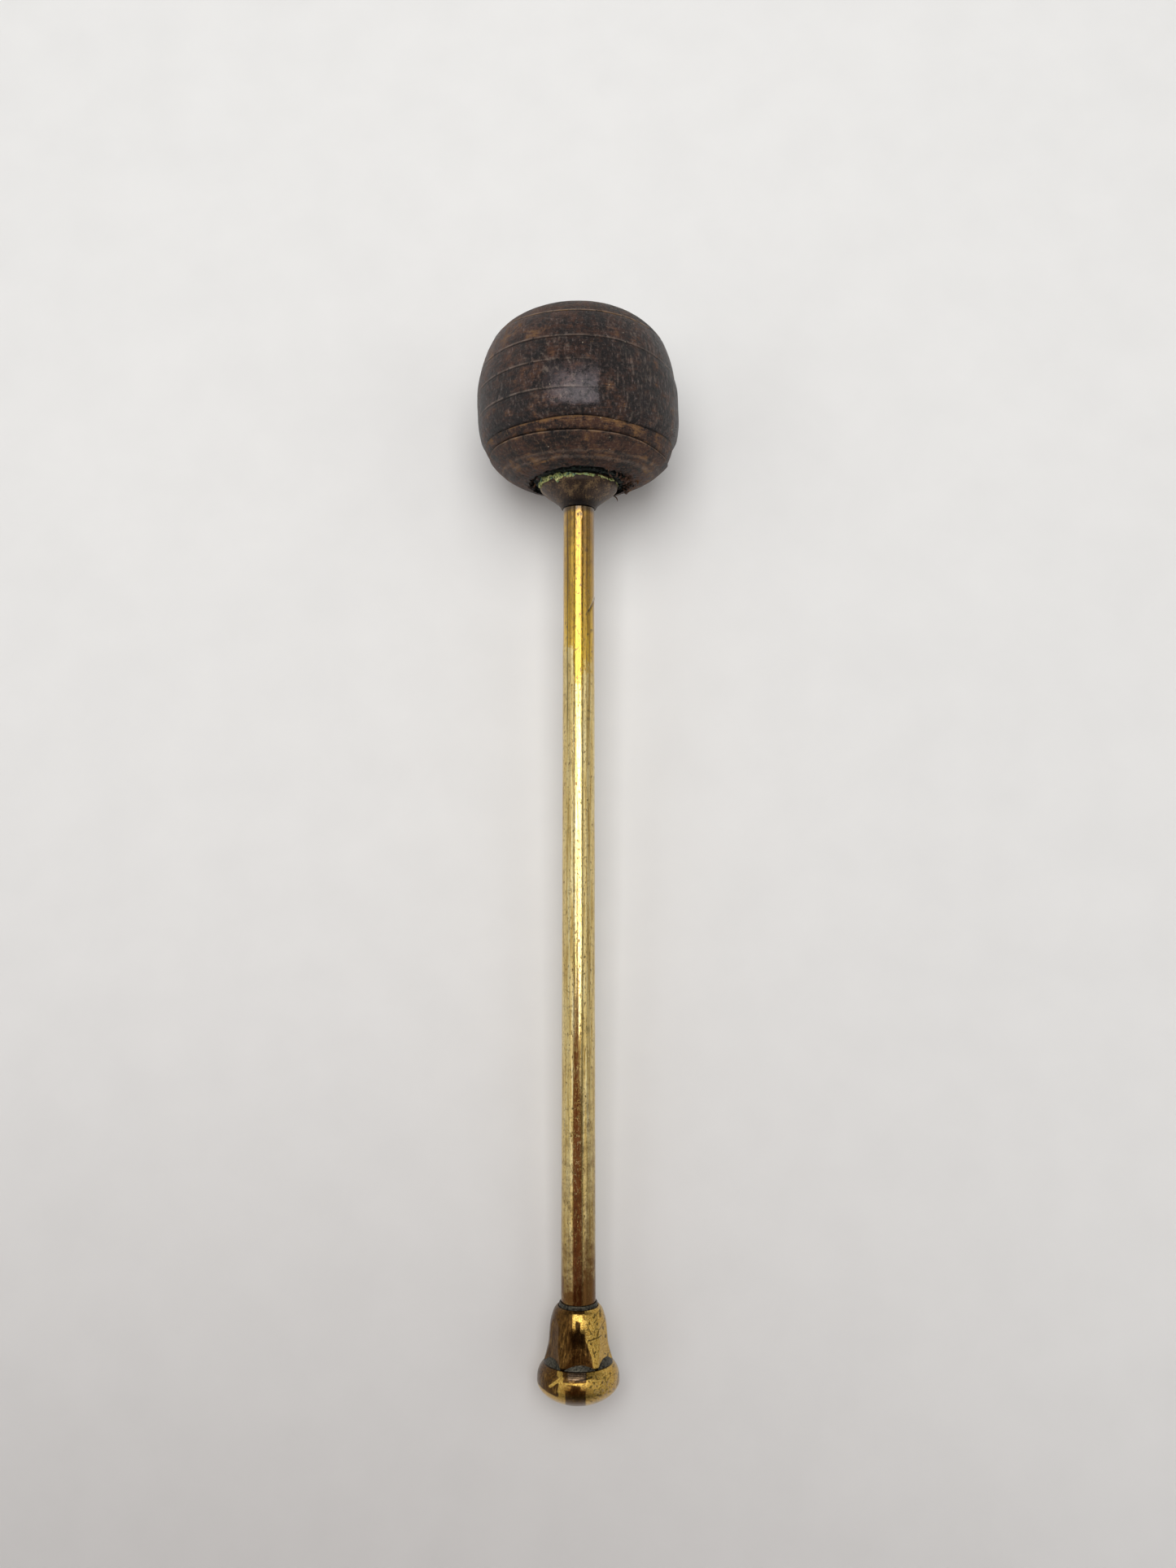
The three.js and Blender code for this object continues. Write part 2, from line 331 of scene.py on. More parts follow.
# ---- finishes -------------------------------------------------------------------------------------
def sole_leather(name, dark, brown, ochre, scuff_and_glint, shine):
    """Vegetable-tanned sole leather, blackened and burnished by handling: dark mottling over brown, raw
    ochre where an edge is chipped, pale scratches, pale flecks in the grain painted as glints, painted
    highlights on the lips of the seams, painted shade in the seams, dark crud with painted shade in the
    hole, and a polish where hands have rubbed it, lightened there by a painted highlight."""
    finish, tree, shader, mm = start_finish(name)
    mottle = add(tree, "TexNoise", mm, named={"Scale": 0.5, "Detail": 7.0, "Roughness": 0.8})
    blotch = add(tree, "TexNoise", mm, named={"Scale": 0.16, "Detail": 4.0, "Roughness": 0.6})
    grain = add(tree, "TexNoise", mm, named={"Scale": 1.1, "Detail": 5.0, "Roughness": 0.75})
    slanted = add(tree, "Mapping", mm, named={"Rotation": (0, 0, 0.35), "Scale": (1.5, 0.4, 1.5)})
    strokes = add(tree, "TexNoise", slanted, named={"Scale": 1.0, "Detail": 4.0, "Roughness": 0.7})
    flat = add(tree, "Mapping", mm, named={"Scale": (0.22, 2.6, 0.22)})
    layered = add(tree, "TexNoise", flat, named={"Scale": 1.0, "Detail": 4.0, "Roughness": 0.7})
    browned, worn, painted_shade_and_crud, polished, painted_highlights_and_scratches = painted(tree, *LEATHER_LAYERS)

    specks = add(tree, "Math", mottle, 5.0, -2.5, operation="MULTIPLY_ADD")
    patches = add(tree, "Math", blotch, 5.0, -2.5, operation="MULTIPLY_ADD")
    bands = add(tree, "Math", layered, 3.2, -1.6, operation="MULTIPLY_ADD")
    uneven = add(tree, "Math", add(tree, "Math", specks, patches), bands)
    share = add(tree, "Math", uneven, 0.8, browned, operation="MULTIPLY_ADD")
    browning = add(tree, "ValToRGB", share, stops=[(0.0, 0.0), (1.0, 1.0)])
    colour = blend(tree, browning, dark, brown)
    raw = add(tree, "Math", uneven, 0.45, worn, operation="MULTIPLY_ADD")
    rawness = add(tree, "ValToRGB", raw, stops=[(0.4, 0.0), (1.0, 0.9)])
    colour = blend(tree, rawness, colour, ochre)

    # Pale flecks in the grain are painted glints. The same pale colour marks the slanted scuffs.
    painted_glints = add(tree, "ValToRGB", grain, stops=[(0.54, 0.0), (0.7, 0.7)])
    colour = blend(tree, painted_glints, colour, linear(scuff_and_glint))
    stroke = add(tree, "ValToRGB", strokes, stops=[(0.57, 0.0), (0.7, 0.8)])
    colour = blend(tree, stroke, colour, linear(scuff_and_glint))
    # Painted highlight: the polished patch is lightened towards pale grey.
    highlight_mottle = add(tree, "ValToRGB", mottle, stops=[(0.35, 0.1), (0.55, 0.4)])
    painted_sheen = add(tree, "Math", highlight_mottle, polished, operation="MULTIPLY")
    colour = blend(tree, painted_sheen, colour, linear("776b70"))
    # Painted highlights on the lips of the seams and the ridges near the hole, and pale scratches.
    lit = add(tree, "ValToRGB", mottle, stops=[(0.38, 0.25), (0.52, 1.0)])
    lip = add(tree, "Math", lit, painted_highlights_and_scratches, operation="MULTIPLY")
    colour = blend(tree, lip, colour, linear("9c8a7c"))
    swirl = add(tree, "TexNoise", mm, named={"Scale": 0.55, "Detail": 2.5, "Distortion": 1.4})
    offset = add(tree, "Math", swirl, -0.5)
    apart = add(tree, "Math", offset, operation="ABSOLUTE")
    line = add(tree, "ValToRGB", apart, stops=[(0.0, 1.0), (0.007, 0.0)])
    sparse = add(tree, "ValToRGB", strokes, stops=[(0.5, 0.0), (0.62, 0.7)])
    scratch = add(tree, "Math", line, sparse, operation="MULTIPLY")
    colour = blend(tree, scratch, colour, linear("a89a98"))

    cells = add(tree, "TexVoronoi", mm, named={"Scale": 0.42})
    dot = add(tree, "ValToRGB", cells.outputs["Distance"], stops=[(0.05, 1.0), (0.09, 0.0)])
    chosen = add(tree, "ValToRGB", cells.outputs["Color"], stops=[(0.68, 0.0), (0.7, 1.0)])
    speck = add(tree, "Math", dot, chosen, operation="MULTIPLY")
    colour = blend(tree, speck, colour, linear("b9ac97"))
    pits = add(tree, "ValToRGB", mottle, stops=[(0.37, 1.0), (0.47, 0.0)])
    colour = blend(tree, pits, colour, linear("060304"))
    # Painted shade in the seams, and dark crud with painted shade in the hole.
    colour = blend(tree, painted_shade_and_crud, colour, linear("0a0606"))
    tree.links.new(colour, shader.inputs["Base Color"])
    shader.inputs["Specular IOR Level"].default_value = 0.3

    dullness = add(tree, "MapRange", mottle, 0.35, 0.65, shine, shine + 0.16)
    rubbed = add(tree, "Math", polished, -0.2, dullness, operation="MULTIPLY_ADD")
    add(tree, "Math", rawness, 0.25, rubbed, operation="MULTIPLY_ADD", to=shader.inputs["Roughness"])
    pores = add(tree, "Math", grain, 0.22, operation="MULTIPLY")
    lumps = add(tree, "Math", mottle, 0.6, pores, operation="MULTIPLY_ADD")
    combed = add(tree, "Math", strokes, 0.2, lumps, operation="MULTIPLY_ADD")
    height = add(tree, "Math", layered, 0.14, combed, operation="MULTIPLY_ADD")
    strength = add(tree, "Math", polished, -0.7, 1.0, operation="MULTIPLY_ADD")
    bump = {"Height": height, "Distance": MM, "Strength": strength}
    add(tree, "Bump", named=bump, to=shader.inputs["Normal"])
    return finish


def aged_brass(name, clean, tarnish, deep):
    """Turned brass, once polished: yellow where bare, with brown tarnish in hard-edged patches, dark
    cracks in what is left of its lacquer, pinholes and a little waviness in its shine."""
    finish, tree, shader, mm = start_finish(name)
    blotch = add(tree, "TexNoise", mm, named={"Scale": 0.8, "Detail": 6.0, "Roughness": 0.65})
    fine = add(tree, "TexNoise", mm, named={"Scale": 3.0, "Detail": 5.0, "Roughness": 0.7})
    drawn = add(tree, "Mapping", mm, named={"Scale": (2.2, 0.35, 2.2)})
    streaks = add(tree, "TexNoise", drawn, named={"Scale": 1.0, "Detail": 4.0, "Roughness": 0.65})
    swirl = add(tree, "TexNoise", mm, named={"Scale": 0.55, "Detail": 2.0, "Distortion": 1.0})
    tarnished, grime_and_painted_shade, silvered = painted(tree, *KNOB_LAYERS)

    bare = add(tree, "ValToRGB", fine, stops=[(0.38, clean), (0.68, "e6c874")])
    flakes = add(tree, "Math", fine, 1.6, -0.8, operation="MULTIPLY_ADD")
    ragged = add(tree, "Math", streaks, 1.1, -0.55, operation="MULTIPLY_ADD")
    edge = add(tree, "Math", add(tree, "Math", flakes, ragged), 0.45, tarnished, operation="MULTIPLY_ADD")
    cover = add(tree, "ValToRGB", edge, stops=[(0.4, 0.0), (0.62, 1.0)])
    brown = add(tree, "ValToRGB", streaks, stops=[(0.3, deep), (0.55, tarnish), (0.78, "a98446")])
    colour = blend(tree, cover, bare, brown)
    offset = add(tree, "Math", swirl, -0.5)
    apart = add(tree, "Math", offset, operation="ABSOLUTE")
    crack = add(tree, "ValToRGB", apart, stops=[(0.005, 1.0), (0.016, 0.0)])
    broken = add(tree, "ValToRGB", blotch, stops=[(0.47, 0.0), (0.54, 0.95)])
    cracked = add(tree, "Math", crack, broken, operation="MULTIPLY")
    colour = blend(tree, cracked, colour, linear("2e1f10"))
    pinholes = add(tree, "ValToRGB", fine, stops=[(0.36, 0.95), (0.42, 0.0)])
    colour = blend(tree, pinholes, colour, linear("33220f"))
    colour = blend(tree, silvered, colour, linear("a8927c"))
    # Near-black dirt, painted dark reflections and painted shade.
    colour = blend(tree, grime_and_painted_shade, colour, linear("120c06"))
    tree.links.new(colour, shader.inputs["Base Color"])
    shader.inputs["Metallic"].default_value = 1.0
    dull = add(tree, "MapRange", fine, 0.3, 0.7, 0.1, 0.2)
    add(tree, "Math", cover, 0.08, dull, operation="MULTIPLY_ADD", to=shader.inputs["Roughness"])
    pocks = add(tree, "Math", fine, 0.07, operation="MULTIPLY")
    waves = add(tree, "Math", blotch, 0.12, pocks, operation="MULTIPLY_ADD")
    height = add(tree, "Math", cracked, -0.05, waves, operation="MULTIPLY_ADD")
    bump = {"Height": height, "Distance": MM, "Strength": 0.8}
    add(tree, "Bump", named=bump, to=shader.inputs["Normal"])
    return finish


def lacquered_brass(name, bare, lacquer_gold):
    """Drawn brass tube. Its lacquer is still on at the head end, deep gold and speckled, and has flaked
    off below in a ragged edge. There the bare metal is pale, with streaks and short cracks along it,
    pits, and brown tarnish towards the knob."""
    finish, tree, shader, mm = start_finish(name)
    drawn = add(tree, "Mapping", mm, named={"Scale": (1.6, 0.05, 1.6)})
    streaks = add(tree, "TexNoise", drawn, named={"Scale": 1.0, "Detail": 5.0, "Roughness": 0.68})
    dashed = add(tree, "Mapping", mm, named={"Scale": (2.4, 0.8, 2.4)})
    dashes = add(tree, "TexNoise", dashed, named={"Scale": 1.0, "Detail": 4.0, "Roughness": 0.65})
    blotch = add(tree, "TexNoise", mm, named={"Scale": 0.35, "Detail": 5.0, "Roughness": 0.65})
    fine = add(tree, "TexNoise", mm, named={"Scale": 2.2, "Detail": 5.0, "Roughness": 0.7})
    threads = add(tree, "Mapping", mm, named={"Scale": (1.1, 0.28, 1.1)})
    swirl = add(tree, "TexNoise", threads, named={"Scale": 1.0, "Detail": 3.0, "Distortion": 0.6})
    lacquer, tarnished, smoked, grime_and_painted_shade = painted(tree, *TUBE_LAYERS)

    flaking = add(tree, "Math", fine, 26.0, -13.0, operation="MULTIPLY_ADD")
    patchy = add(tree, "Math", blotch, 26.0, -13.0, operation="MULTIPLY_ADD")
    ragged = add(tree, "Math", flaking, patchy)
    edge = add(tree, "Math", lacquer, ragged)
    lacquered = add(tree, "MapRange", edge, -1.0, 1.5, 0.0, 1.0)
    streaked = add(tree, "ValToRGB", streaks, stops=[(0.34, "a98a4a"), (0.48, bare), (0.68, "ecdca8")])
    golden = add(tree, "ValToRGB", streaks, stops=[(0.38, "9c730b"), (0.6, lacquer_gold)])
    smoky = blend(tree, smoked, golden, linear("7a4f0e"))
    colour = blend(tree, lacquered, streaked, smoky)
    coarse = add(tree, "Math", blotch, 1.4, -0.7, operation="MULTIPLY_ADD")
    grainy = add(tree, "Math", fine, 0.8, coarse, operation="MULTIPLY_ADD")
    uneven = add(tree, "Math", streaks, 0.8, grainy, operation="MULTIPLY_ADD")
    shade = add(tree, "Math", uneven, -0.8)
    browning = add(tree, "Math", shade, tarnished)
    cover = add(tree, "ValToRGB", browning, stops=[(0.15, 0.0), (1.05, 1.0)])
    colour = blend(tree, cover, colour, linear("6f4d2a"))
    offset = add(tree, "Math", swirl, -0.5)
    apart = add(tree, "Math", offset, operation="ABSOLUTE")
    thread = add(tree, "ValToRGB", apart, stops=[(0.003, 0.9), (0.014, 0.0)])
    broken = add(tree, "ValToRGB", blotch, stops=[(0.46, 0.0), (0.56, 1.0)])
    craze = add(tree, "Math", thread, broken, operation="MULTIPLY")
    colour = blend(tree, craze, colour, linear("6a5026"))
    nicks = add(tree, "ValToRGB", dashes, stops=[(0.36, 0.95), (0.42, 0.0)])
    colour = blend(tree, nicks, colour, linear("6b5128"))
    pinholes = add(tree, "ValToRGB", fine, stops=[(0.33, 0.95), (0.39, 0.0)])
    colour = blend(tree, pinholes, colour, linear("3f2f18"))
    # Dark stains and pits, painted shade in the cut and round the pin, and darker where the tube enters
    # the ferrule and along a thin line on its top left.
    colour = blend(tree, grime_and_painted_shade, colour, linear("2a1c0c"))
    tree.links.new(colour, shader.inputs["Base Color"])
    shader.inputs["Metallic"].default_value = 1.0
    tree.links.new(lacquered.outputs[0], shader.inputs["Coat Weight"])
    shader.inputs["Coat Roughness"].default_value = 0.1
    dull = add(tree, "MapRange", streaks, 0.3, 0.7, 0.12, 0.05)
    add(tree, "Math", cover, 0.12, dull, operation="MULTIPLY_ADD", to=shader.inputs["Roughness"])
    scored = add(tree, "Math", streaks, 0.03, operation="MULTIPLY")
    pocked = add(tree, "Math", fine, 0.03, scored, operation="MULTIPLY_ADD")
    height = add(tree, "Math", nicks, -0.03, pocked, operation="MULTIPLY_ADD")
    bump = {"Height": height, "Distance": MM, "Strength": 0.6}
    add(tree, "Bump", named=bump, to=shader.inputs["Normal"])
    return finish


def slate_metal(name):
    """Grey metal gone slate-dark, mottled, with a dull gleam."""
    finish, tree, shader, mm = start_finish(name)
    fine = add(tree, "TexNoise", mm, named={"Scale": 1.8, "Detail": 5.0, "Roughness": 0.65})
    add(tree, "ValToRGB", fine, stops=[(0.38, "15140f"), (0.62, "5b584c")], to=shader.inputs["Base Color"])
    shader.inputs["Metallic"].default_value = 0.8
    shader.inputs["Roughness"].default_value = 0.42
    add(tree, "Bump", named={"Height": fine, "Distance": 0.05 * MM}, to=shader.inputs["Normal"])
    return finish


def patinated_brass(name):
    """Brass that has gone dark brown all over, with tan rubbed patches, streaks and a weak shine."""
    finish, tree, shader, mm = start_finish(name)
    blotch = add(tree, "TexNoise", mm, named={"Scale": 0.3, "Detail": 6.0, "Roughness": 0.7})
    fine = add(tree, "TexNoise", mm, named={"Scale": 2.4, "Detail": 5.0, "Roughness": 0.7})
    drawn = add(tree, "Mapping", mm, named={"Scale": (1.5, 0.35, 0.5)})
    streaks = add(tree, "TexNoise", drawn, named={"Scale": 1.0, "Detail": 5.0, "Roughness": 0.7})
    (grime_and_painted_shade,) = painted(tree, "grime_and_painted_shade")
    dirty = add(tree, "Math", fine, 0.5, streaks, operation="MULTIPLY_ADD")
    brown = add(tree, "ValToRGB", dirty, stops=[(0.55, "1a1110"), (0.95, "55402f")])
    patchy = add(tree, "Math", fine, 0.5, blotch, operation="MULTIPLY_ADD")
    rubbed = add(tree, "ValToRGB", patchy, stops=[(0.76, 0.0), (0.95, 0.85)])
    colour = blend(tree, rubbed, brown, linear("9a7d58"))
    # Darker at the neck of the ferrule, with a painted dark reflection down its middle.
    colour = blend(tree, grime_and_painted_shade, colour, linear("15100f"))
    tree.links.new(colour, shader.inputs["Base Color"])
    shader.inputs["Metallic"].default_value = 0.55
    add(tree, "MapRange", fine, 0.3, 0.7, 0.3, 0.5, to=shader.inputs["Roughness"])
    height = add(tree, "Math", fine, 0.14, operation="MULTIPLY")
    add(tree, "Bump", named={"Height": height, "Distance": MM}, to=shader.inputs["Normal"])
    return finish


def verdigris(name, colour):
    """Copper salts grown on the brass rim: chalky yellow-green with blue-green patches, quite matt."""
    finish, tree, shader, mm = start_finish(name)
    patch = add(tree, "TexNoise", mm, named={"Scale": 0.45, "Detail": 4.0, "Roughness": 0.6})
    crumbs = add(tree, "TexNoise", mm, named={"Scale": 1.5, "Detail": 5.0, "Roughness": 0.7})
    mixed = add(tree, "ValToRGB", patch, stops=[(0.42, "e0dc98"), (0.53, colour), (0.66, "86b3a0")])
    shaded = add(tree, "ValToRGB", crumbs, stops=[(0.42, "182c22"), (0.54, "ffffff")])
    coloured = blend(tree, 0.9, mixed, shaded, "MULTIPLY")
    tree.links.new(coloured, shader.inputs["Base Color"])
    shader.inputs["Roughness"].default_value = 0.85
    add(tree, "Bump", named={"Height": crumbs, "Distance": 0.25 * MM}, to=shader.inputs["Normal"])
    return finish


def blackened_verdigris(name):
    """The crud packed into the recess: grease and copper salts, nearly black with teal crumbs."""
    finish, tree, shader, mm = start_finish(name)
    crumbs = add(tree, "TexNoise", mm, named={"Scale": 1.7, "Detail": 5.0, "Roughness": 0.7})
    stops = [(0.45, "040807"), (0.58, "14261f"), (0.7, "5b8a76")]
    add(tree, "ValToRGB", crumbs, stops=stops, to=shader.inputs["Base Color"])
    shader.inputs["Roughness"].default_value = 0.7
    add(tree, "Bump", named={"Height": crumbs, "Distance": 0.6 * MM}, to=shader.inputs["Normal"])
    return finish


def rusty_steel(name):
    """Mild steel with a thin film of rust, brown over grey."""
    finish, tree, shader, mm = start_finish(name)
    fine = add(tree, "TexNoise", mm, named={"Scale": 1.5, "Detail": 5.0, "Roughness": 0.7})
    add(tree, "ValToRGB", fine, stops=[(0.4, "6e6660"), (0.6, "5b3a26")], to=shader.inputs["Base Color"])
    shader.inputs["Metallic"].default_value = 0.7
    shader.inputs["Roughness"].default_value = 0.5
    return finish


# ---- the leather head -----------------------------------------------------------------------------
HEAD_STEPS = 480  # how many faces go round the head
HEAD_ROW = 0.25  # height of a row of them
HAIRLINE = 0.02  # half the gap between two pressed discs
CREASE = 0.15  # how far the painted shade spreads from a seam
SEAM_WIDTH = 0.55  # how far from a seam the edge of a disc is rounded off
HOLE_REACH = 21.0  # radius beyond which the hole's wear doesn't move the leather
# How far the lower and the upper edge of each disc are rounded off.
SEAM_ROUND = ((0.0, 0.7), (0.45, 0.1), (0.3, 0.16), (0.16, 0.16), (0.16, 0.2), (0.2, 0.2), (0.25, 0.0))


def seam_wave(index, angle):
    """How far a seam strays from its nominal station, in millimetres."""
    if index == 0:
        return 0.4 - 2.4 * near_angle(angle, 75, 36)
    if index == 1:
        return -0.2 + 1.2 * near_angle(angle, 0, 28) + 0.3 * near_angle(angle, 90, 25)
    if index == 2:
        return 0.5 - 0.9 * near_angle(angle, -80, 40)
    if index == 3:
        return 0.6 - 1.0 * near_angle(angle, -75, 35)
    if index == 4:
        return 0.3 - 3.6 * near_angle(angle, 75, 38) - 1.1 * near_angle(angle, -70, 30)
    return 0.3 - 1.2 * near_angle(angle, 60, 30)


def seam_depth(index, angle):
    """How open a seam is, from 0, polished shut, to 1."""
    if index == 0:
        return 1.0
    if index == 1:
        return 0.8
    around = 0.25 + 0.35 * sin(radians(angle) * 2 + index * 1.7)
    behind = 1 - near_angle(angle, 0, 95)
    if index == 2:
        return 1.0 * near_angle(angle, -35, 38) + around * behind
    if index == 3:
        return 1.0 * near_angle(angle, -45, 38) + around * behind
    if index == 4:
        return 0.5 + 0.5 * near_angle(angle, -35, 35) + around * behind
    return 0.6 + 0.4 * near_angle(angle, 0, 60)


def lip_station(radius):
    """Station of the underside of the head at a radius."""
    return HEAD_WIDEST - HEAD_BELOW * (1 - (radius / HEAD_RADIUS) ** SQUARENESS) ** (1 / SQUARENESS)


def hole_radius(angle):
    """The worn hole is wider at the front and at one side."""
    return HOLE_RADIUS + 2.4 * near_angle(angle, 5, 48) + 1.3 * near_angle(angle, 85, 35)


def disc_outline(index):
    """Profile of one disc, from its bore out along the foot, up the side and back to the bore."""
    foot = HEAD_FOOT if index == 0 else SEAMS[index - 1] + HAIRLINE
    top = HEAD_CROWN if index == len(DISC_NAMES) - 1 else SEAMS[index] - HAIRLINE
    inset = THIN_DISC_INSET if index == 1 else 0.0
    count = 60
    stations = [foot + (top - foot) * i / count for i in range(count + 1)]
    side = resampled([(head_radius(station) - inset, station) for station in stations], HEAD_ROW)
    if index == 0:
        recess = WASHER_TOP + 0.3
        lip = lip_station(HOLE_RADIUS)
        wall = evenly([(HOLE_RADIUS, recess), (HOLE_RADIUS, lip)], HEAD_ROW)[:-1]
        rise = [(HOLE_RADIUS + 0.3 * i, lip_station(HOLE_RADIUS + 0.3 * i)) for i in range(5)]
        inner = [(BORE, recess), *wall, *rise]
    else:
        inner = [(BORE, foot)]
    if index == len(DISC_NAMES) - 1:
        recess = CROWN_FOOT - 0.3
        edge = CROWN_RADIUS + 0.3
        outer = [*evenly([side[-1], (edge, top), (edge, recess)], HEAD_ROW)[1:], (BORE, recess)]
    else:
        outer = [(BORE, top)]
    return inner + side + outer


def shape_disc(mesh, index):
    """Works a turned disc into an old one: wavy seams, rounded edges, dents and torn leather."""
    last = len(DISC_NAMES) - 1
    foot = HEAD_FOOT if index == 0 else SEAMS[index - 1]
    top = HEAD_CROWN if index == last else SEAMS[index]
    layers = add_layers(mesh, *LEATHER_LAYERS)
    for vertex in mesh.verts:
        radius, angle = polar(vertex.co)
        station = vertex.co.y
        share = (station - foot) / (top - foot)
        low = 0.0 if index == 0 else seam_wave(index - 1, angle)
        high = 0.0 if index == last else seam_wave(index, angle)
        outside = radius > BORE + 1
        above = station - foot if index > 0 else 99.0
        below = top - station if index < last else 99.0
        vertex.co.y += low + (high - low) * min(max(share, 0), 1)
        if not outside:
            continue
        from_low = seam_depth(index - 1, angle) if index > 0 else 0.0
        from_high = seam_depth(index, angle) if index < last else 0.0
        step_in = from_low * SEAM_ROUND[index][0] * max(0.0, 1 - above / SEAM_WIDTH) ** 2
        step_in += from_high * SEAM_ROUND[index][1] * max(0.0, 1 - below / SEAM_WIDTH) ** 2
        if index == 2:
            step_in += 0.85 * max(0.0, 1 - above / 3.4) ** 2
        point = vertex.co.copy()
        lumps = 0.25 * rough(point, 15) + 0.09 * rough(point, 4.5, 1) + 0.035 * rough(point, 1.3, 2)
        if index == 0:
            lumps += 0.16 * near(point.y, 280.8 + 0.2 * rough(point, 6, 5), 0.35)
            lumps += 0.14 * near(point.y, 282.0 + 0.2 * rough(point, 6, 6), 0.35)
        lean = -0.35 * near(point.y, 308, 9) * sin(radians(angle))
        set_radius(vertex, radius - step_in + lumps * smooth(HOLE_RADIUS, HOLE_RADIUS + 3, radius) + lean)
        grime_and_painted_shade = 0.0
        if index == 0 and radius < HOLE_REACH:
            widened = hole_radius(angle) + (radius - HOLE_RADIUS) * (HOLE_REACH - hole_radius(angle)) / (
                HOLE_REACH - HOLE_RADIUS
            )
            torn = 0.7 * rough(point, 2.2, 3) + 0.6 * rough(point, 0.9, 4)
            widened += torn * (1 - smooth(HOLE_RADIUS, HOLE_RADIUS + 1.6, radius))
            set_radius(vertex, widened)
            if radius > HOLE_RADIUS - TINY and station < WASHER_TOP - 0.8:
                vertex.co.y += lip_station(widened) - lip_station(radius) + 0.2 * rough(point, 1.2, 9)
            # Dark crud with painted shade down the inside of the hole.
            grime_and_painted_shade = 1 - smooth(HOLE_RADIUS - 0.1, HOLE_RADIUS + 0.6, radius)
        # Painted shade in the open seams.
        painted_shade_and_crud = from_low * exp(-above / CREASE) + from_high * exp(-below / CREASE)
        vertex[layers["painted_shade_and_crud"]] = min(max(painted_shade_and_crud, grime_and_painted_shade), 1.0)
        # Painted highlights on the lips and the ridges, and pale scratches.
        lip = pale_marks(index, point, above, below, from_low)
        vertex[layers["painted_highlights_and_scratches"]] = min(lip, 1.0) * (0.6 + 0.5 * rough(point, 2.5, 12))
        for name, value in leather_wear(index, point, angle, above, below).items():
            vertex[layers[name]] = value


def pale_marks(index, point, above, below, opening):
    """Pale lips of the seams and fine ridges near the hole, both painted highlights, and hatched scratches
    on the black discs.
    """
    if index == 0:
        first = 280.8 + 0.2 * rough(point, 6, 5)
        second = 282.0 + 0.2 * rough(point, 6, 6)
        ridges = 0.4 * near(point.y, first, 0.3) + 0.35 * near(point.y, second, 0.3)
        return 0.55 * near(below, 0.35, 0.18) + ridges
    if index == 1:
        return 0.0
    lip = near(above, 0.42, 0.2) * opening if index >= 3 else 0.0
    slanted = Vector((point.x + 0.7 * point.y, 0.25 * (point.y - point.x), 0.5 * point.z))
    upright = Vector((1.3 * point.x, 0.3 * point.y, 1.3 * point.z))
    hatched = smooth(0.25, 0.45, rough(slanted, 0.8, 14)) * near(point.x, -7, 8) * (index <= 4)
    brushed = smooth(0.25, 0.45, rough(upright, 0.8, 15)) * smooth(4, 12, point.x)
    return lip + 0.5 * hatched + 0.4 * brushed


def leather_wear(index, point, angle, above, below):
    """How brown, how rubbed down to raw ochre leather and how polished a place on the head is. The
    polished patch also gets a painted highlight.
    """
    browned = (0.65, 0.65, 0.02, 0.1, 0.2, 0.5, 0.6)[index]
    if 2 <= index <= 6:
        browned -= 0.42 * sin(radians(angle)) * smooth(295, 312, point.y)
    worn = 0.0
    if index == 1:
        worn = 0.7 * exp(-below / 0.7) + 0.3 * exp(-above / 0.4) + 0.15 + 0.5 * rough(point, 3, 13)
    if index == 0:
        worn = 0.6 * near(below, 0.4, 0.3) + 0.35 * near(point.y, 280.9, 0.7)
        worn += 0.35 * near(point.y, 282.2, 0.5) + 0.06
        scratch = 280.4 + 0.12 * (point.x + 9.5)
        worn += 0.9 * near(point.y, scratch, 0.28) * near(point.x, -9.5, 2.2) * (point.z > 0)
    if index == 4:
        worn += 0.6 * near(hypot(point.x - 4.0, point.y - 312), 0, 1.1) * (point.z > 0)
    if index == 6:
        worn += 0.75 * near(above, 0.25, 0.28)
    if index == 5:
        worn += 0.3 * near(point.y, 317, 4) * smooth(5, -15, point.x) * (point.z > 0)
    if index >= 5:
        worn += 0.5 * near(point.y, 323.9, 0.6) * near(point.x, -3.2, 1.8) * (point.z > 0)
    # The polished patch on the front: smoother, and lightened by a painted highlight.
    ends = smooth(293.0, 294.6, point.y + 0.8 * rough(point, 2, 7)) * (1 - smooth(299, 308, point.y))
    sides = smooth(-12, -3.5, point.x + 2 * rough(point, 3, 9))
    sides *= 1 - smooth(5.6, 6.8, point.x + rough(point, 1.5, 8))
    polished = ends * sides * (point.z > 0) * (2 <= index <= 4)
    return {"browned": browned, "worn": worn, "polished": polished}


def press_on_table(mesh):
    """Flattens what would sink into the table, as the head has worn."""
    lift = (TO_AXIS.to_3x3() @ Vector((0, 0, 1))).normalized()
    for vertex in mesh.verts:
        depth = -(TO_ROW @ vertex.co).z / MM
        if depth > 0:
            vertex.co += lift * depth


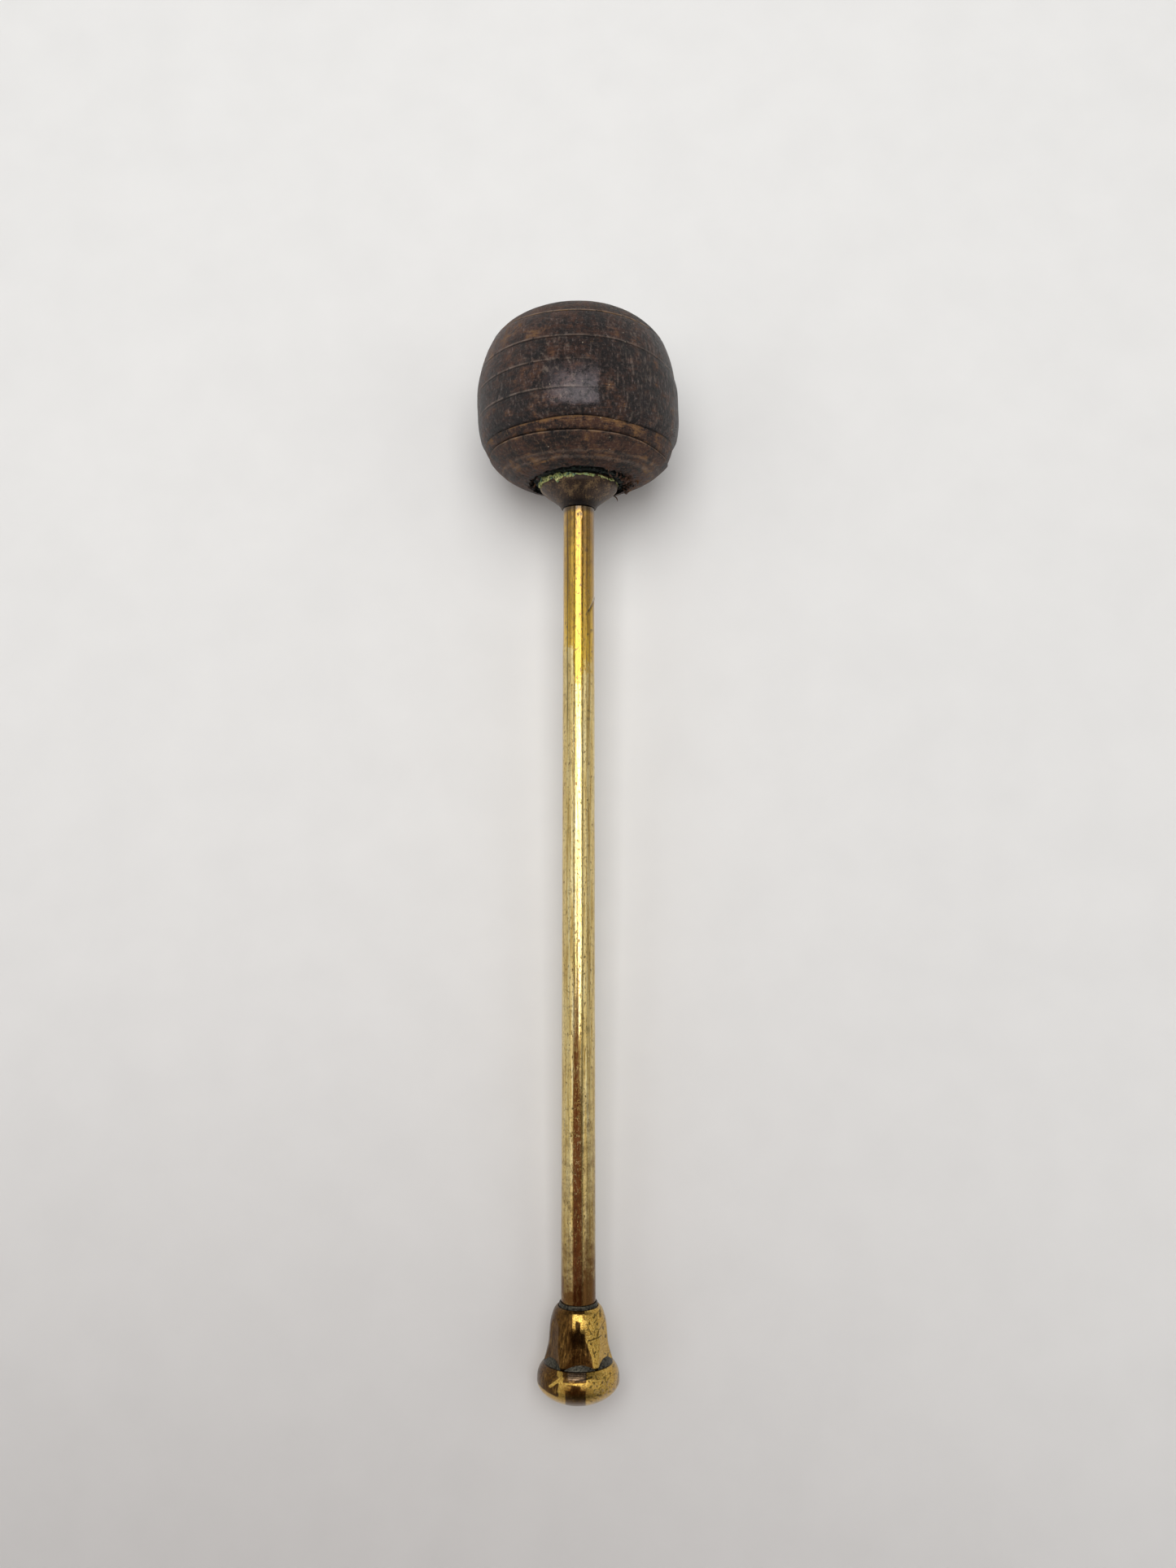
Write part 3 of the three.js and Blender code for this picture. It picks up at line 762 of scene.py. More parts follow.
def shred(mesh, thickness, bend, sweep, matrix):
    """Adds one curled shred: a thin round strand on an arc, drawn out to a point at both ends."""
    steps = 8
    made = bmesh.ops.create_circle(mesh, segments=6, radius=thickness)["verts"]
    bmesh.ops.translate(mesh, verts=made, vec=(bend, 0, 0))
    edges = {edge for vertex in made for edge in vertex.link_edges}
    first = set(mesh.verts) - set(made)
    bmesh.ops.spin(
        mesh,
        geom=[*made, *edges],
        cent=(0, 0, 0),
        axis=(0, 1, 0),
        dvec=(0, 0, 0),
        angle=sweep,
        steps=steps,
    )
    strand = [vertex for vertex in mesh.verts if vertex not in first]
    for vertex in strand:
        along = (-atan2(vertex.co.z, vertex.co.x) % (2 * pi)) / sweep
        middle = Vector((vertex.co.x, 0, vertex.co.z)).normalized() * bend
        taper = max(0.0, sin(pi * min(max(along, 0.0), 1.0))) ** 0.6
        vertex.co = middle + (vertex.co - middle) * taper
    bmesh.ops.remove_doubles(mesh, verts=strand, dist=TINY)
    strand = [vertex for vertex in mesh.verts if vertex not in first]
    bmesh.ops.transform(mesh, matrix=matrix, verts=strand)


def torn_fibres(count):
    """Curled shreds of leather at the edge of the hole, most of them low on one side."""
    draw = Random(11)
    mesh = bmesh.new()
    for _ in range(count):
        angle = draw.gauss(76, 16) if draw.random() < 0.85 else draw.uniform(-100, 100)
        rim = hole_radius(angle) + draw.uniform(-1.4, 0.4)
        spot = Vector((0, lip_station(rim) + draw.uniform(-0.5, 0.5), rim))
        around = Matrix.Rotation(radians(angle), 4, "Y") @ Matrix.Translation(spot)
        tumble = Matrix.Rotation(draw.uniform(0, 2 * pi), 4, "X")
        tumble @= Matrix.Rotation(draw.uniform(0, 2 * pi), 4, "Z")
        thickness = draw.uniform(0.14, 0.4)
        shred(mesh, thickness, draw.uniform(0.6, 1.6), draw.uniform(1.2, 2.6), around @ tumble)
    spot = Matrix.Translation((11.0, 277.4, -13.5))
    loose = spot @ Matrix.Rotation(0.5, 4, "Y") @ Matrix.Rotation(pi / 2, 4, "X")
    shred(mesh, 0.2, 1.7, 2.0, loose)
    bmesh.ops.recalc_face_normals(mesh, faces=mesh.faces)
    layers = add_layers(mesh, *LEATHER_LAYERS)
    for vertex in mesh.verts:
        vertex[layers["browned"]] = 0.8
        vertex[layers["worn"]] = 0.3
    return mesh


# ---- the stage ------------------------------------------------------------------------------------
# All in millimetres.
FLOOR_HALF = 4000  # half the side of the square floor
FLOOR_DROP = 0.02  # how far the floor lies below the plane that the beater rests on
OVERHEAD = 1200  # height of the panel, and of the plain screens beside it
PANEL_SIZE = (894, 1200)  # across and along
PANEL_CENTRE = (-38, 590)
# The screens: brightness, edges across, and edges along.
SCREENS = {
    "rail_left": (0.4, -640, -790, 0, 950),
    "rail_right": (0.33, 430, 600, 0, 950),
    "wall_left": (1.05, -940, -1900, -500, 1000),
    "wall_right": (0.95, 800, 1900, -500, 1000),
}
# The outline of the dark flag just above the camera, (across, along): a narrow tab on a wide hood.
FLAG = (
    *[(-20, 104), (-34, 112), (-34, 184), (-94, 184), (-94, 112), (-110, 104)],
    *[(-150, 89), (-190, 73), (-235, 56), (-265, 44), (-295, 31), (-330, -60), (-300, -260)],
    *[(170, -260), (190, -60), (138, 10), (80, 31), (45, 56), (25, 73), (10, 89)],
)


def glow(name, colour, strength):
    """A surface that gives an even light, for the studio's panels."""
    finish = bpy.data.materials.new(name)
    finish.use_nodes = True
    tree = finish.node_tree
    tree.nodes.clear()
    light = add(tree, "Emission", colour, strength)
    add(tree, "OutputMaterial", light)
    return finish


def flat_sheet(name, corners, finish):
    """A flat sheet through corners given in the axis frame."""
    mesh = bmesh.new()
    mesh.faces.new([mesh.verts.new(TO_ROW @ Vector(corner)) for corner in corners])
    data = bpy.data.meshes.new(name)
    mesh.to_mesh(data)
    mesh.free()
    data.materials.append(finish)
    sheet = bpy.data.objects.new(name, data)
    bpy.context.scene.collection.objects.link(sheet)
    return sheet


def rectangle(left, right, low, high, height):
    """Corners of a level rectangle in the axis frame."""
    return [(left, low, height), (right, low, height), (right, high, height), (left, high, height)]


def pale_paper(name, colour):
    """White backdrop paper, matt and very slightly uneven."""
    finish, tree, shader, mm = start_finish(name)
    fibre = add(tree, "TexNoise", mm, named={"Scale": 0.05, "Detail": 4.0})
    shade = add(tree, "MapRange", fibre, 0.3, 0.7, 0.97, 1.0)
    coloured = blend(tree, 1.0, colour, shade, "MULTIPLY")
    tree.links.new(coloured, shader.inputs["Base Color"])
    shader.inputs["Roughness"].default_value = 0.9
    shader.inputs["Specular IOR Level"].default_value = 0.2
    return finish


# ---- settings -------------------------------------------------------------------------------------
def colour_setting(name, description, colour):
    """A colour that a user can pick, from an sRGB hex colour."""
    return FloatVectorProperty(
        name=name, description=description, subtype="COLOR", size=4, min=0, max=1, default=linear(colour)
    )


class GongBeaterHead(bpy.types.PropertyGroup):
    """The stack of leather discs."""

    fibres: IntProperty(name="Torn fibres", description="Shreds round the hole", default=80, min=0)
    blackened: colour_setting("Blackened leather", "Leather darkened and burnished by handling", "17100f")
    browned: colour_setting("Brown leather", "Leather that has kept its brown", "4a2f23")
    raw: colour_setting("Raw leather", "Leather laid bare where an edge is chipped or rubbed", "8f6a42")


class GongBeaterBrass(bpy.types.PropertyGroup):
    """The metal of the handle, the knob and the ferrule."""

    polished: colour_setting("Polished brass", "The knob where it is bare", "b4842b")
    tarnish: colour_setting("Tarnish", "The brown that covers the rest of the knob", "664823")
    tube: colour_setting("Bare tube", "The tube where its lacquer is gone", "d8be7c")
    lacquer: colour_setting("Lacquer", "The tube where its gold lacquer is still on", "e3ba3a")
    verdigris: colour_setting("Verdigris", "The crust on the rim of the ferrule", "b4bf6e")
    crumbs: IntProperty(name="Crumbs", description="Crumbs of crud behind the ferrule", default=90, min=0)


class GongBeaterStage(bpy.types.PropertyGroup):
    """The camera, the floor and the light."""

    camera_distance: FloatProperty(
        name="Camera distance",
        description="From the camera straight down to the axis of the beater",
        unit="LENGTH",
        default=412.5 * MM,
    )
    camera_station: FloatProperty(
        name="Camera station",
        description="Distance of that point from the butt, along the axis",
        unit="LENGTH",
        default=154.3 * MM,
    )
    camera_aside: FloatProperty(
        name="Camera offset",
        description="How far the camera stands to the side of the axis",
        unit="LENGTH",
        default=2.9 * MM,
    )
    camera_tilt: FloatProperty(
        name="Camera tilt",
        description="Tilt of the view towards the head",
        subtype="ANGLE",
        default=radians(4.21),
    )
    focal_length: FloatProperty(
        name="Focal length", description="For a sensor 36 mm long", default=30.82, min=1
    )
    floor_colour: colour_setting("Floor", "The pale paper that the beater lies on", "f1f0ee")
    panel_light: FloatProperty(
        name="Panel", description="Brightness of the soft panel overhead", default=3.62, min=0
    )
    room_light: FloatProperty(
        name="Room", description="Brightness of the white room around", default=1.0, min=0
    )
    flag_colour: FloatVectorProperty(
        name="Flag",
        description="The dark warm screen that hangs over the handle",
        subtype="COLOR",
        size=4,
        min=0,
        max=1,
        default=(0.175, 0.078, 0.056, 1.0),
    )


class GongBeater(bpy.types.PropertyGroup):
    """All the settings of the beater."""

    head: PointerProperty(type=GongBeaterHead)
    brass: PointerProperty(type=GongBeaterBrass)
    stage: PointerProperty(type=GongBeaterStage)


# ---- operators ------------------------------------------------------------------------------------
class GONGBEATER_OT_head(bpy.types.Operator):
    """Build the seven leather discs and the torn edge of the hole"""

    bl_idname = "gong_beater.head"
    bl_label = "Leather Head"

    def execute(self, context):
        settings = context.scene.gong_beater.head
        shades = settings.blackened, settings.browned, settings.raw
        black = sole_leather("blackened_sole_leather", *shades, "6c5d57", 0.34)
        brown = sole_leather("brown_sole_leather", *shades, "795e46", 0.46)
        for index, name in enumerate(DISC_NAMES):
            mesh = turned(disc_outline(index), HEAD_STEPS)
            shape_disc(mesh, index)
            press_on_table(mesh)
            is_black = 2 <= index <= 5
            slot = "black_leather" if is_black else "brown_leather"
            place(f"{name}_worn", mesh, black if is_black else brown, slot, name, sharp=60)
        shreds = torn_fibres(settings.fibres)
        place("torn_leather_fibres", shreds, brown, "brown_leather")
        return {"FINISHED"}


class GONGBEATER_OT_crown(bpy.types.Operator):
    """Build the washer and the domed nut on the crown"""

    bl_idname = "gong_beater.crown"
    bl_label = "Crown Washer and Nut"

    def execute(self, context):
        brass = patinated_brass("patinated_brass_crown")
        edge = 0.25
        outline = [(BORE, CROWN_FOOT), (CROWN_RADIUS, CROWN_FOOT)]
        outline += arc((CROWN_RADIUS - edge, CROWN_TOP - edge), edge, 0, 90)
        outline += [(BORE, CROWN_TOP)]
        place("crown_washer_turned", turned(outline, 128), brass, "tarnished_brass", "crown_washer")
        side = NUT_FOOT + 0.45 * (NUT_TOP - NUT_FOOT)
        flat = 0.55 * NUT_RADIUS
        dome = [
            (flat + (NUT_RADIUS - flat) * cos(turn), side + (NUT_TOP - side) * sin(turn))
            for turn in [pi / 2 * i / 10 for i in range(11)]
        ]
        ceiling = NUT_TOP - 0.9
        hollow = [(0, ceiling), (BORE, ceiling), (BORE, NUT_FOOT)]
        outline = [*hollow, (NUT_RADIUS, NUT_FOOT), *dome, (0, NUT_TOP)]
        place("crown_nut_turned", turned(outline, 128), brass, "tarnished_brass", "crown_nut")
        return {"FINISHED"}


class GONGBEATER_OT_ferrule(bpy.types.Operator):
    """Build the flared ferrule, the washer behind it and the verdigris on its rim"""

    bl_idname = "gong_beater.ferrule"
    bl_label = "Ferrule"

    def execute(self, context):
        brass = patinated_brass("patinated_brass_ferrule")
        place("neck_ferrule_turned", ferrule_mesh(), brass, "tarnished_brass", "neck_ferrule")
        washer = [
            (BORE, WASHER_FOOT),
            (WASHER_RADIUS, WASHER_FOOT),
            (WASHER_RADIUS, WASHER_TOP),
            (BORE, WASHER_TOP),
        ]
        crud = blackened_verdigris("blackened_verdigris")
        place("base_washer_turned", turned(washer, 128), crud, "tarnished_brass", "base_washer")
        settings = context.scene.gong_beater.brass
        crust = verdigris("verdigris", settings.verdigris)
        place("verdigris_crust", rim_crust(), crust, "tarnished_brass", sharp=80)
        place("recess_crumbs", recess_crumbs(settings.crumbs), crud, "tarnished_brass", sharp=80)
        return {"FINISHED"}


def ferrule_mesh():
    """The flared ferrule, darker at its neck, with a painted dark reflection down its middle."""
    corners = [(5.4, FERRULE_FOOT), (6.1, 272.0), (7.9, 273.5), (10.3, 275.2), (11.8, 276.6)]
    lip = 0.4
    outline = [(BORE, FERRULE_FOOT), *curve([*corners, (FERRULE_RADIUS, 277.8)])]
    outline += arc((FERRULE_RADIUS - lip, FERRULE_TOP - lip), lip, 0, 90)
    mesh = turned([*outline, (BORE, FERRULE_TOP)], 256)
    grime_and_painted_shade = add_layers(mesh, "grime_and_painted_shade")["grime_and_painted_shade"]
    for vertex in mesh.verts:
        station = vertex.co.y + 0.8 * rough(vertex.co, 2.5, 2)
        neck = 0.65 * (1 - smooth(271.6, 273.6, station))
        # Darker at the neck; a painted dark reflection down the middle.
        vertex[grime_and_painted_shade] = neck + 0.35 * near(vertex.co.x, 0, 3.5)
    return mesh


def rim_crust():
    """A broken crust along the rim of the ferrule, thick on one side and thin on the other."""
    middle = (FERRULE_RADIUS - 0.1, FERRULE_TOP - 0.8)
    crust = turned(arc(middle, 0.5, 0, 330, 11), 600)
    for vertex in crust.verts:
        radius, angle = polar(vertex.co)
        full = 0.8 + 0.5 * near_angle(angle, -55, 45) - 0.35 * near_angle(angle, 60, 40)
        full *= max(0.25, 0.85 + 1.1 * rough(vertex.co, 2.3, 8) + 0.4 * rough(vertex.co, 0.9, 6))
        out = radius - middle[0]
        up = vertex.co.y - middle[1]
        lump = 0.2 * rough(vertex.co, 1.3, 1) + 0.2 * rough(vertex.co, 0.5, 2)
        set_radius(vertex, middle[0] + out * full * 0.8 + lump * full)
        vertex.co.y = middle[1] + up * full * 1.5 + 0.6 * rough(vertex.co, 2.6, 4) * full
    return crust


def recess_crumbs(count):
    """Crumbs of crud in the recess between the ferrule and the leather."""
    draw = Random(5)
    mesh = bmesh.new()
    for _ in range(count):
        angle = radians(draw.gauss(70, 35) if draw.random() < 0.5 else draw.uniform(-180, 180))
        radius = draw.uniform(12.6, 15.2)
        spot = Vector((radius * sin(angle), WASHER_FOOT - draw.uniform(-0.2, 0.35), radius * cos(angle)))
        size = draw.uniform(0.2, 0.6)
        squeeze = Matrix.Diagonal((size, size * 0.7, size, 1))
        matrix = Matrix.Translation(spot) @ squeeze
        bmesh.ops.create_icosphere(mesh, subdivisions=3, radius=1.0, matrix=matrix)
    for vertex in mesh.verts:
        vertex.co += Vector([0.3 * rough(vertex.co, 0.6, seed) for seed in (1, 2, 3)])
    return mesh


class GONGBEATER_OT_handle(bpy.types.Operator):
    """Build the brass tube, and finish its cross pin and the spindle inside"""

    bl_idname = "gong_beater.handle"
    bl_label = "Handle Tube"

    def execute(self, context):
        settings = context.scene.gong_beater.brass
        brass = lacquered_brass("lacquered_brass", settings.tube, settings.lacquer)
        place("handle_tube_turned", tube_mesh(), brass, "brass", "handle_tube")
        steel = rusty_steel("rusty_mild_steel")
        for node in ("cross_pin", "head_spindle"):
            frame["nodes"][node].data.materials.clear()
            frame["nodes"][node].data.materials.append(steel)
        return {"FINISHED"}


# Pits and stains on the top of the tube: distance across, station, radius and depth of colour.
TUBE_STAINS = (
    (4.0, 232.0, 0.35, 0.9),
    (2.9, 230.6, 0.22, 0.8),
    (3.0, 206.9, 0.3, 0.8),
    (3.0, 204.4, 0.5, 0.5),
    (-0.9, 249.5, 0.3, 0.8),
    (1.5, 249.0, 0.3, 0.8),
    (-1.3, 247.3, 0.25, 0.7),
    (2.6, 256.8, 0.4, 0.6),
    (-1.6, 170.1, 0.22, 0.9),
    (0.1, 170.1, 0.22, 0.9),
    (1.9, 132.0, 0.32, 1.0),
    (1.8, 126.9, 0.3, 1.0),
    (2.7, 110.4, 0.8, 0.45),
    (-1.75, 87.1, 0.3, 1.0),
)


def tube_mesh():
    """The brass tube, slightly tapered, with its pin near the ferrule and a curved cut below it."""
    pin = (PIN_LOW + PIN_HIGH) / 2
    row = 0.5
    outer = evenly([(TUBE_RADIUS, TUBE_FOOT), (TUBE_RADIUS_HEAD, TUBE_TOP)], row)
    mesh = turned([(BORE, TUBE_FOOT), *outer, (BORE, TUBE_TOP)], 168)
    layers = add_layers(mesh, *TUBE_LAYERS)
    for vertex in mesh.verts:
        radius = polar(vertex.co)[0]
        if radius < BORE + TINY:
            continue
        point = vertex.co.copy()
        above = point.z > 0
        x, station = point.x, point.y
        from_pin = hypot(x - 0.35, station - pin)
        sink = 0.15 * (1 - smooth(0.45, 0.8, from_pin)) * above
        bow = CUT_LOW + 4.2 * max(0.0, (x - 2.8) / 2.0) ** 1.6
        cut = near(station, bow, 0.45) * smooth(2.4, 2.9, x) * above
        dent = 0.04 * rough(point, 9, 3)
        set_radius(vertex, radius - sink - 0.25 * cut + dent)
        stains = [depth * near(hypot(x - a, station - b), 0, size) for a, b, size, depth in TUBE_STAINS]
        # Painted shade round the rim of the pin's hole, on the side towards the head.
        ring = near(hypot(x - 0.35, station - pin), 0.7, 0.3) * smooth(pin - 0.4, pin + 0.1, station)
        collar = smooth(268.4, 270.0, station + 0.5 * rough(point, 1.5, 4))
        line = 0.75 * near(x, -3.4, 0.17) * smooth(198, 206, station)
        # Stains and pits, painted shade in the cut and round the pin, a dark band where the tube enters
        # the ferrule and a thin dark line along the top left.
        marks = max(max(stains), 0.9 * cut, ring, line) * above
        vertex[layers["grime_and_painted_shade"]] = min(1.0, max(marks, 0.8 * collar))
        edge = 214.4 + 5.3 * smooth(0.9, 1.6, x) + 12 * smooth(-0.8, -2.0, x) if above else 216
        vertex[layers["lacquer"]] = station - edge
        golden = 0.6 * smooth(1.2, 1.8, x) * (1 - smooth(80, 140, station)) if above else 0.3
        brown = 0.28 * (1 - smooth(56, 100, station)) + 0.4 * (1 - smooth(34, 60, station))
        brown += 0.35 * (1 - smooth(30, 38, station))
        vertex[layers["tarnished"]] = brown + 0.35 * golden + 0.3 * smooth(240, 268, station)
        vertex[layers["smoked"]] = 0.65 * smooth(225, 262, station) * (0.6 + 0.4 * smooth(-1, 3, x))
    return mesh


class GONGBEATER_OT_knob(bpy.types.Operator):
    """Build the bulb, the grey collar, the six-sided bell and the neck ring"""

    bl_idname = "gong_beater.knob"
    bl_label = "Knob"

    def execute(self, context):
        settings = context.scene.gong_beater.brass
        brass = aged_brass("tarnished_brass_knob", settings.polished, settings.tarnish, "2c1d0b")
        slate = slate_metal("slate_grey_metal")
        stations = [BULB_TOP * i / 48 for i in range(49)]
        side = resampled([(bulb_radius(station), station) for station in stations], 0.25)
        spigot = [(BORE - 0.3, stations[-1]), (BORE - 0.3, 36.0), (0, 36.0)]
        bulb = turned([(0, 0), *side, *spigot], 400, closed=False)
        paint_knob(bulb, bulb_paint)
        place("knob_bulb_turned", bulb, brass, "brass", "knob_bulb")
        bell = bell_mesh()
        paint_knob(bell, bell_paint)
        place("knob_bell_turned", bell, brass, "brass", "knob_bell")
        place("knob_collar_turned", collar_mesh(), slate, "grey_metal", "knob_collar")
        low, high = BELL_TOP - 0.85, RING_TOP - 0.4
        rounded = arc((5.45, high - 0.3), 0.3, 20, 120, 4)
        ring = [(5.25, low), (5.8, low), (5.8, high - 0.45), *rounded, (5.25, high - 0.1)]
        place("neck_ring_turned", turned(ring, 192), slate, "grey_metal", "neck_ring")
        return {"FINISHED"}


def paint_knob(mesh, front):
    """Paints tarnish and dirt, which carry painted dark reflections and painted shade too, and silvering:
    as listed on the side that shows, by chance on the other.
    """
    layers = add_layers(mesh, *KNOB_LAYERS)
    for vertex in mesh.verts:
        angle = polar(vertex.co)[1]
        shown = smooth(110, 80, abs(angle))
        chance = {"tarnished": 0.5 + 1.3 * rough(vertex.co, 7, 3), "grime_and_painted_shade": 0.0, "silvered": 0.0}
        if shown > 0:
            painted = front(vertex.co.x, vertex.co.y)
            chance = {name: painted[name] * shown + chance[name] * (1 - shown) for name in chance}
        for name, value in chance.items():
            vertex[layers[name]] = value


def stroke(x, y, start, end, width):
    """How much of a scratch between two (across, station) points covers a place: 1 along its middle."""
    run = (end[0] - start[0], end[1] - start[1])
    length = run[0] ** 2 + run[1] ** 2
    share = min(max(((x - start[0]) * run[0] + (y - start[1]) * run[1]) / length, 0.0), 1.0)
    away = hypot(x - start[0] - share * run[0], y - start[1] - share * run[1])
    return 1 - smooth(width * 0.6, width * 1.4, away)


BELL_SCRATCHES = (
    ((3.0, 20.4), (6.9, 20.9), 0.13),
    ((2.6, 24.9), (3.3, 23.4), 0.09),
    ((3.3, 23.4), (4.1, 21.8), 0.09),
    ((5.0, 23.4), (6.4, 22.8), 0.08),
    ((6.4, 22.8), (7.8, 24.4), 0.08),
    ((4.7, 25.0), (5.6, 25.8), 0.09),
    ((5.6, 27.2), (6.6, 27.8), 0.08),
    ((4.2, 18.0), (5.0, 15.6), 0.1),
    ((2.6, 19.6), (2.9, 16.0), 0.12),
)


def bell_paint(x, station):
    """The bell: brown on the left and gold on the right. Bare gold at the top is laid out as a painted
    highlight, and the middle under it is painted nearly black as a dark reflection.
    """
    edge = 1.9 + 2.3 * smooth(22, 14, station)
    brown = smooth(-0.2, 0.2, edge - x)
    # Bare gold laid out in the shape of the highlight at the top of the bell, as a painted highlight.
    spot = smooth(-2.0, -1.5, x) * (1 - smooth(1.7, 2.1, x)) * smooth(22.6, 23.6, station + 0.5 * abs(x))
    spot *= 1 - smooth(27.4, 27.9, station)
    # A painted dark reflection, nearly black, in the middle below it and inside the highlight's inverted
    # U.
    middle = smooth(-3.0, -1.6, x) * (1 - smooth(1.8, 2.4, x)) * (1 - smooth(23.0, 24.4, station))
    middle *= 0.35 + 0.65 * smooth(17.5, 19.0, station)
    inside = smooth(-0.9, -0.6, x) * (1 - smooth(0.5, 0.8, x))
    inside *= 1 - smooth(25.4, 26.0, station + 0.4 * x)
    spot *= 1 - inside
    middle = max(middle, inside * smooth(21, 23, station))
    scratches = max(stroke(x, station, *scratch) for scratch in BELL_SCRATCHES)
    flecks = smooth(0.3, 0.42, rough(Vector((x, station * 0.6, 2)), 0.8, 8)) * (1 - brown)
    foot = 1 - smooth(BELL_FOOT - 0.5, BELL_FOOT - 0.1, station)
    return {
        "tarnished": brown * (1 - 0.9 * spot) + 0.15 * (1 - brown),
        "grime_and_painted_shade": min(1.0, max(0.75 * middle, scratches, 0.7 * flecks, foot)),
        "silvered": 0.0,
    }


def bulb_paint(x, station):
    """The bulb: brown above its shoulder but for a keyhole of gold with two legs, and a scoured band in
    the middle. Below that band a painted dark reflection, in brown, reaches up into the middle of the
    highlight; the rest below and the right are gold."""
    left = smooth(-5.0, -6.5, x) * smooth(5.0, 6.5, station + 0.25 * (x + 8))
    upper = smooth(9.4, 9.9, station) * (1 - smooth(2.2, 2.7, x))
    between = smooth(-2.3, -1.8, x) * (1 - smooth(0.6, 1.0, x))
    deep = 7.7 + 1.4 * between
    # A painted dark reflection, brown, below the bulb's highlight and up between its legs.
    low = smooth(-4.2, -3.4, x) * (1 - smooth(2.0, 2.6, x)) * smooth(deep + 0.3, deep - 0.3, station)
    brown = max(left, upper, 0.55 * low)
    eye = 1 - smooth(0.8, 1.0, hypot(x + 5.3, station - 11.4))
    legs = max(
        stroke(x, station, (-5.0, 10.6), (-8.2, 7.8), 0.4),
        stroke(x, station, (-4.6, 10.6), (-5.6, 7.0), 0.4),
    )
    band = smooth(-3.2, -2.8, x) * (1 - smooth(2.0, 2.4, x)) * smooth(10.0, 10.3, station)
    combed = 0.5 + 0.5 * sin(station * 13 + x * 0.5)
    bar = stroke(x, station, (-0.8, 10.0), (4.0, 10.9), 0.28)
    top = smooth(BULB_TOP - 0.35, BULB_TOP - 0.1, station)
    flecks = smooth(0.28, 0.4, rough(Vector((x, station, 1)), 0.7, 7)) * smooth(1, 3, x)
    scuffs = smooth(0.2, 0.35, rough(Vector((x * 2.5, station, 0)), 0.9, 6)) * smooth(3.5, 6, x)
    scuffs *= 1 - smooth(8, 10.5, station)
    return {
        "tarnished": brown * (1 - max(eye, legs)) + 0.12,
        "grime_and_painted_shade": min(1.0, max(0.85 * bar, 0.3 * band * combed, 0.65 * flecks, top)),
        "silvered": max(0.75 * band * (1 - combed), 0.7 * scuffs),
    }


def flat_radius(station, angle):
    """Radius of the bell's six flats at a station and an angle in degrees."""
    apothem = FLATS_APOTHEM - FLATS_TAPER * (station - BELL_FOOT) + FLATS_FRONT * near_angle(angle, 0, 30)
    aside = (radians(angle) - FLATS_TURN + pi / 6) % (pi / 3) - pi / 6
    return apothem / cos(aside)


def bell_mesh():
    """The bell above the bulb, turned and then filed with six flats. Between them its foot comes down
    round the collar."""
    foot = (BELL_RADIUS, COLLAR_FOOT + 0.05)
    sides = [(9.5, 15), (8.9, 17.9), (8.6, 21.2), (8.35, 23.6), (7.8, 25.8), (7.2, 27.3)]
    shoulder = [(6.6, BELL_TOP - 0.25), (6.2, BELL_TOP)]
    outline = curve([foot, (BELL_RADIUS - 0.25, BELL_FOOT), *sides, *shoulder], 12)
    floor = TUBE_FOOT - 0.3
    mouth = [(6.0, BELL_TOP - 0.05), (5.85, BELL_TOP - 0.9), (SOCKET, BELL_TOP - 0.95)]
    inner = [*mouth, (SOCKET, floor), (BORE, floor)]
    mesh = turned([(BORE, foot[1]), *resampled(outline, 0.2), *inner], 432)
    for vertex in mesh.verts:
        radius, angle = polar(vertex.co)
        if radius > SOCKET + 0.5:
            set_radius(vertex, min(radius, flat_radius(vertex.co.y, angle)))
    return mesh


def collar_mesh():
    """The grey collar: it shows as a lens in front of each of the bell's flats."""
    edge = COLLAR_RADIUS - 0.12
    shoulder = COLLAR_FOOT + 0.15
    outline = [(BORE, COLLAR_FOOT), (edge, COLLAR_FOOT), (edge, shoulder)]
    outline += evenly([(edge, shoulder), (edge - 1.3, COLLAR_TOP)], 0.1)[1:] + [(BORE, COLLAR_TOP)]
    return turned(outline, 288)


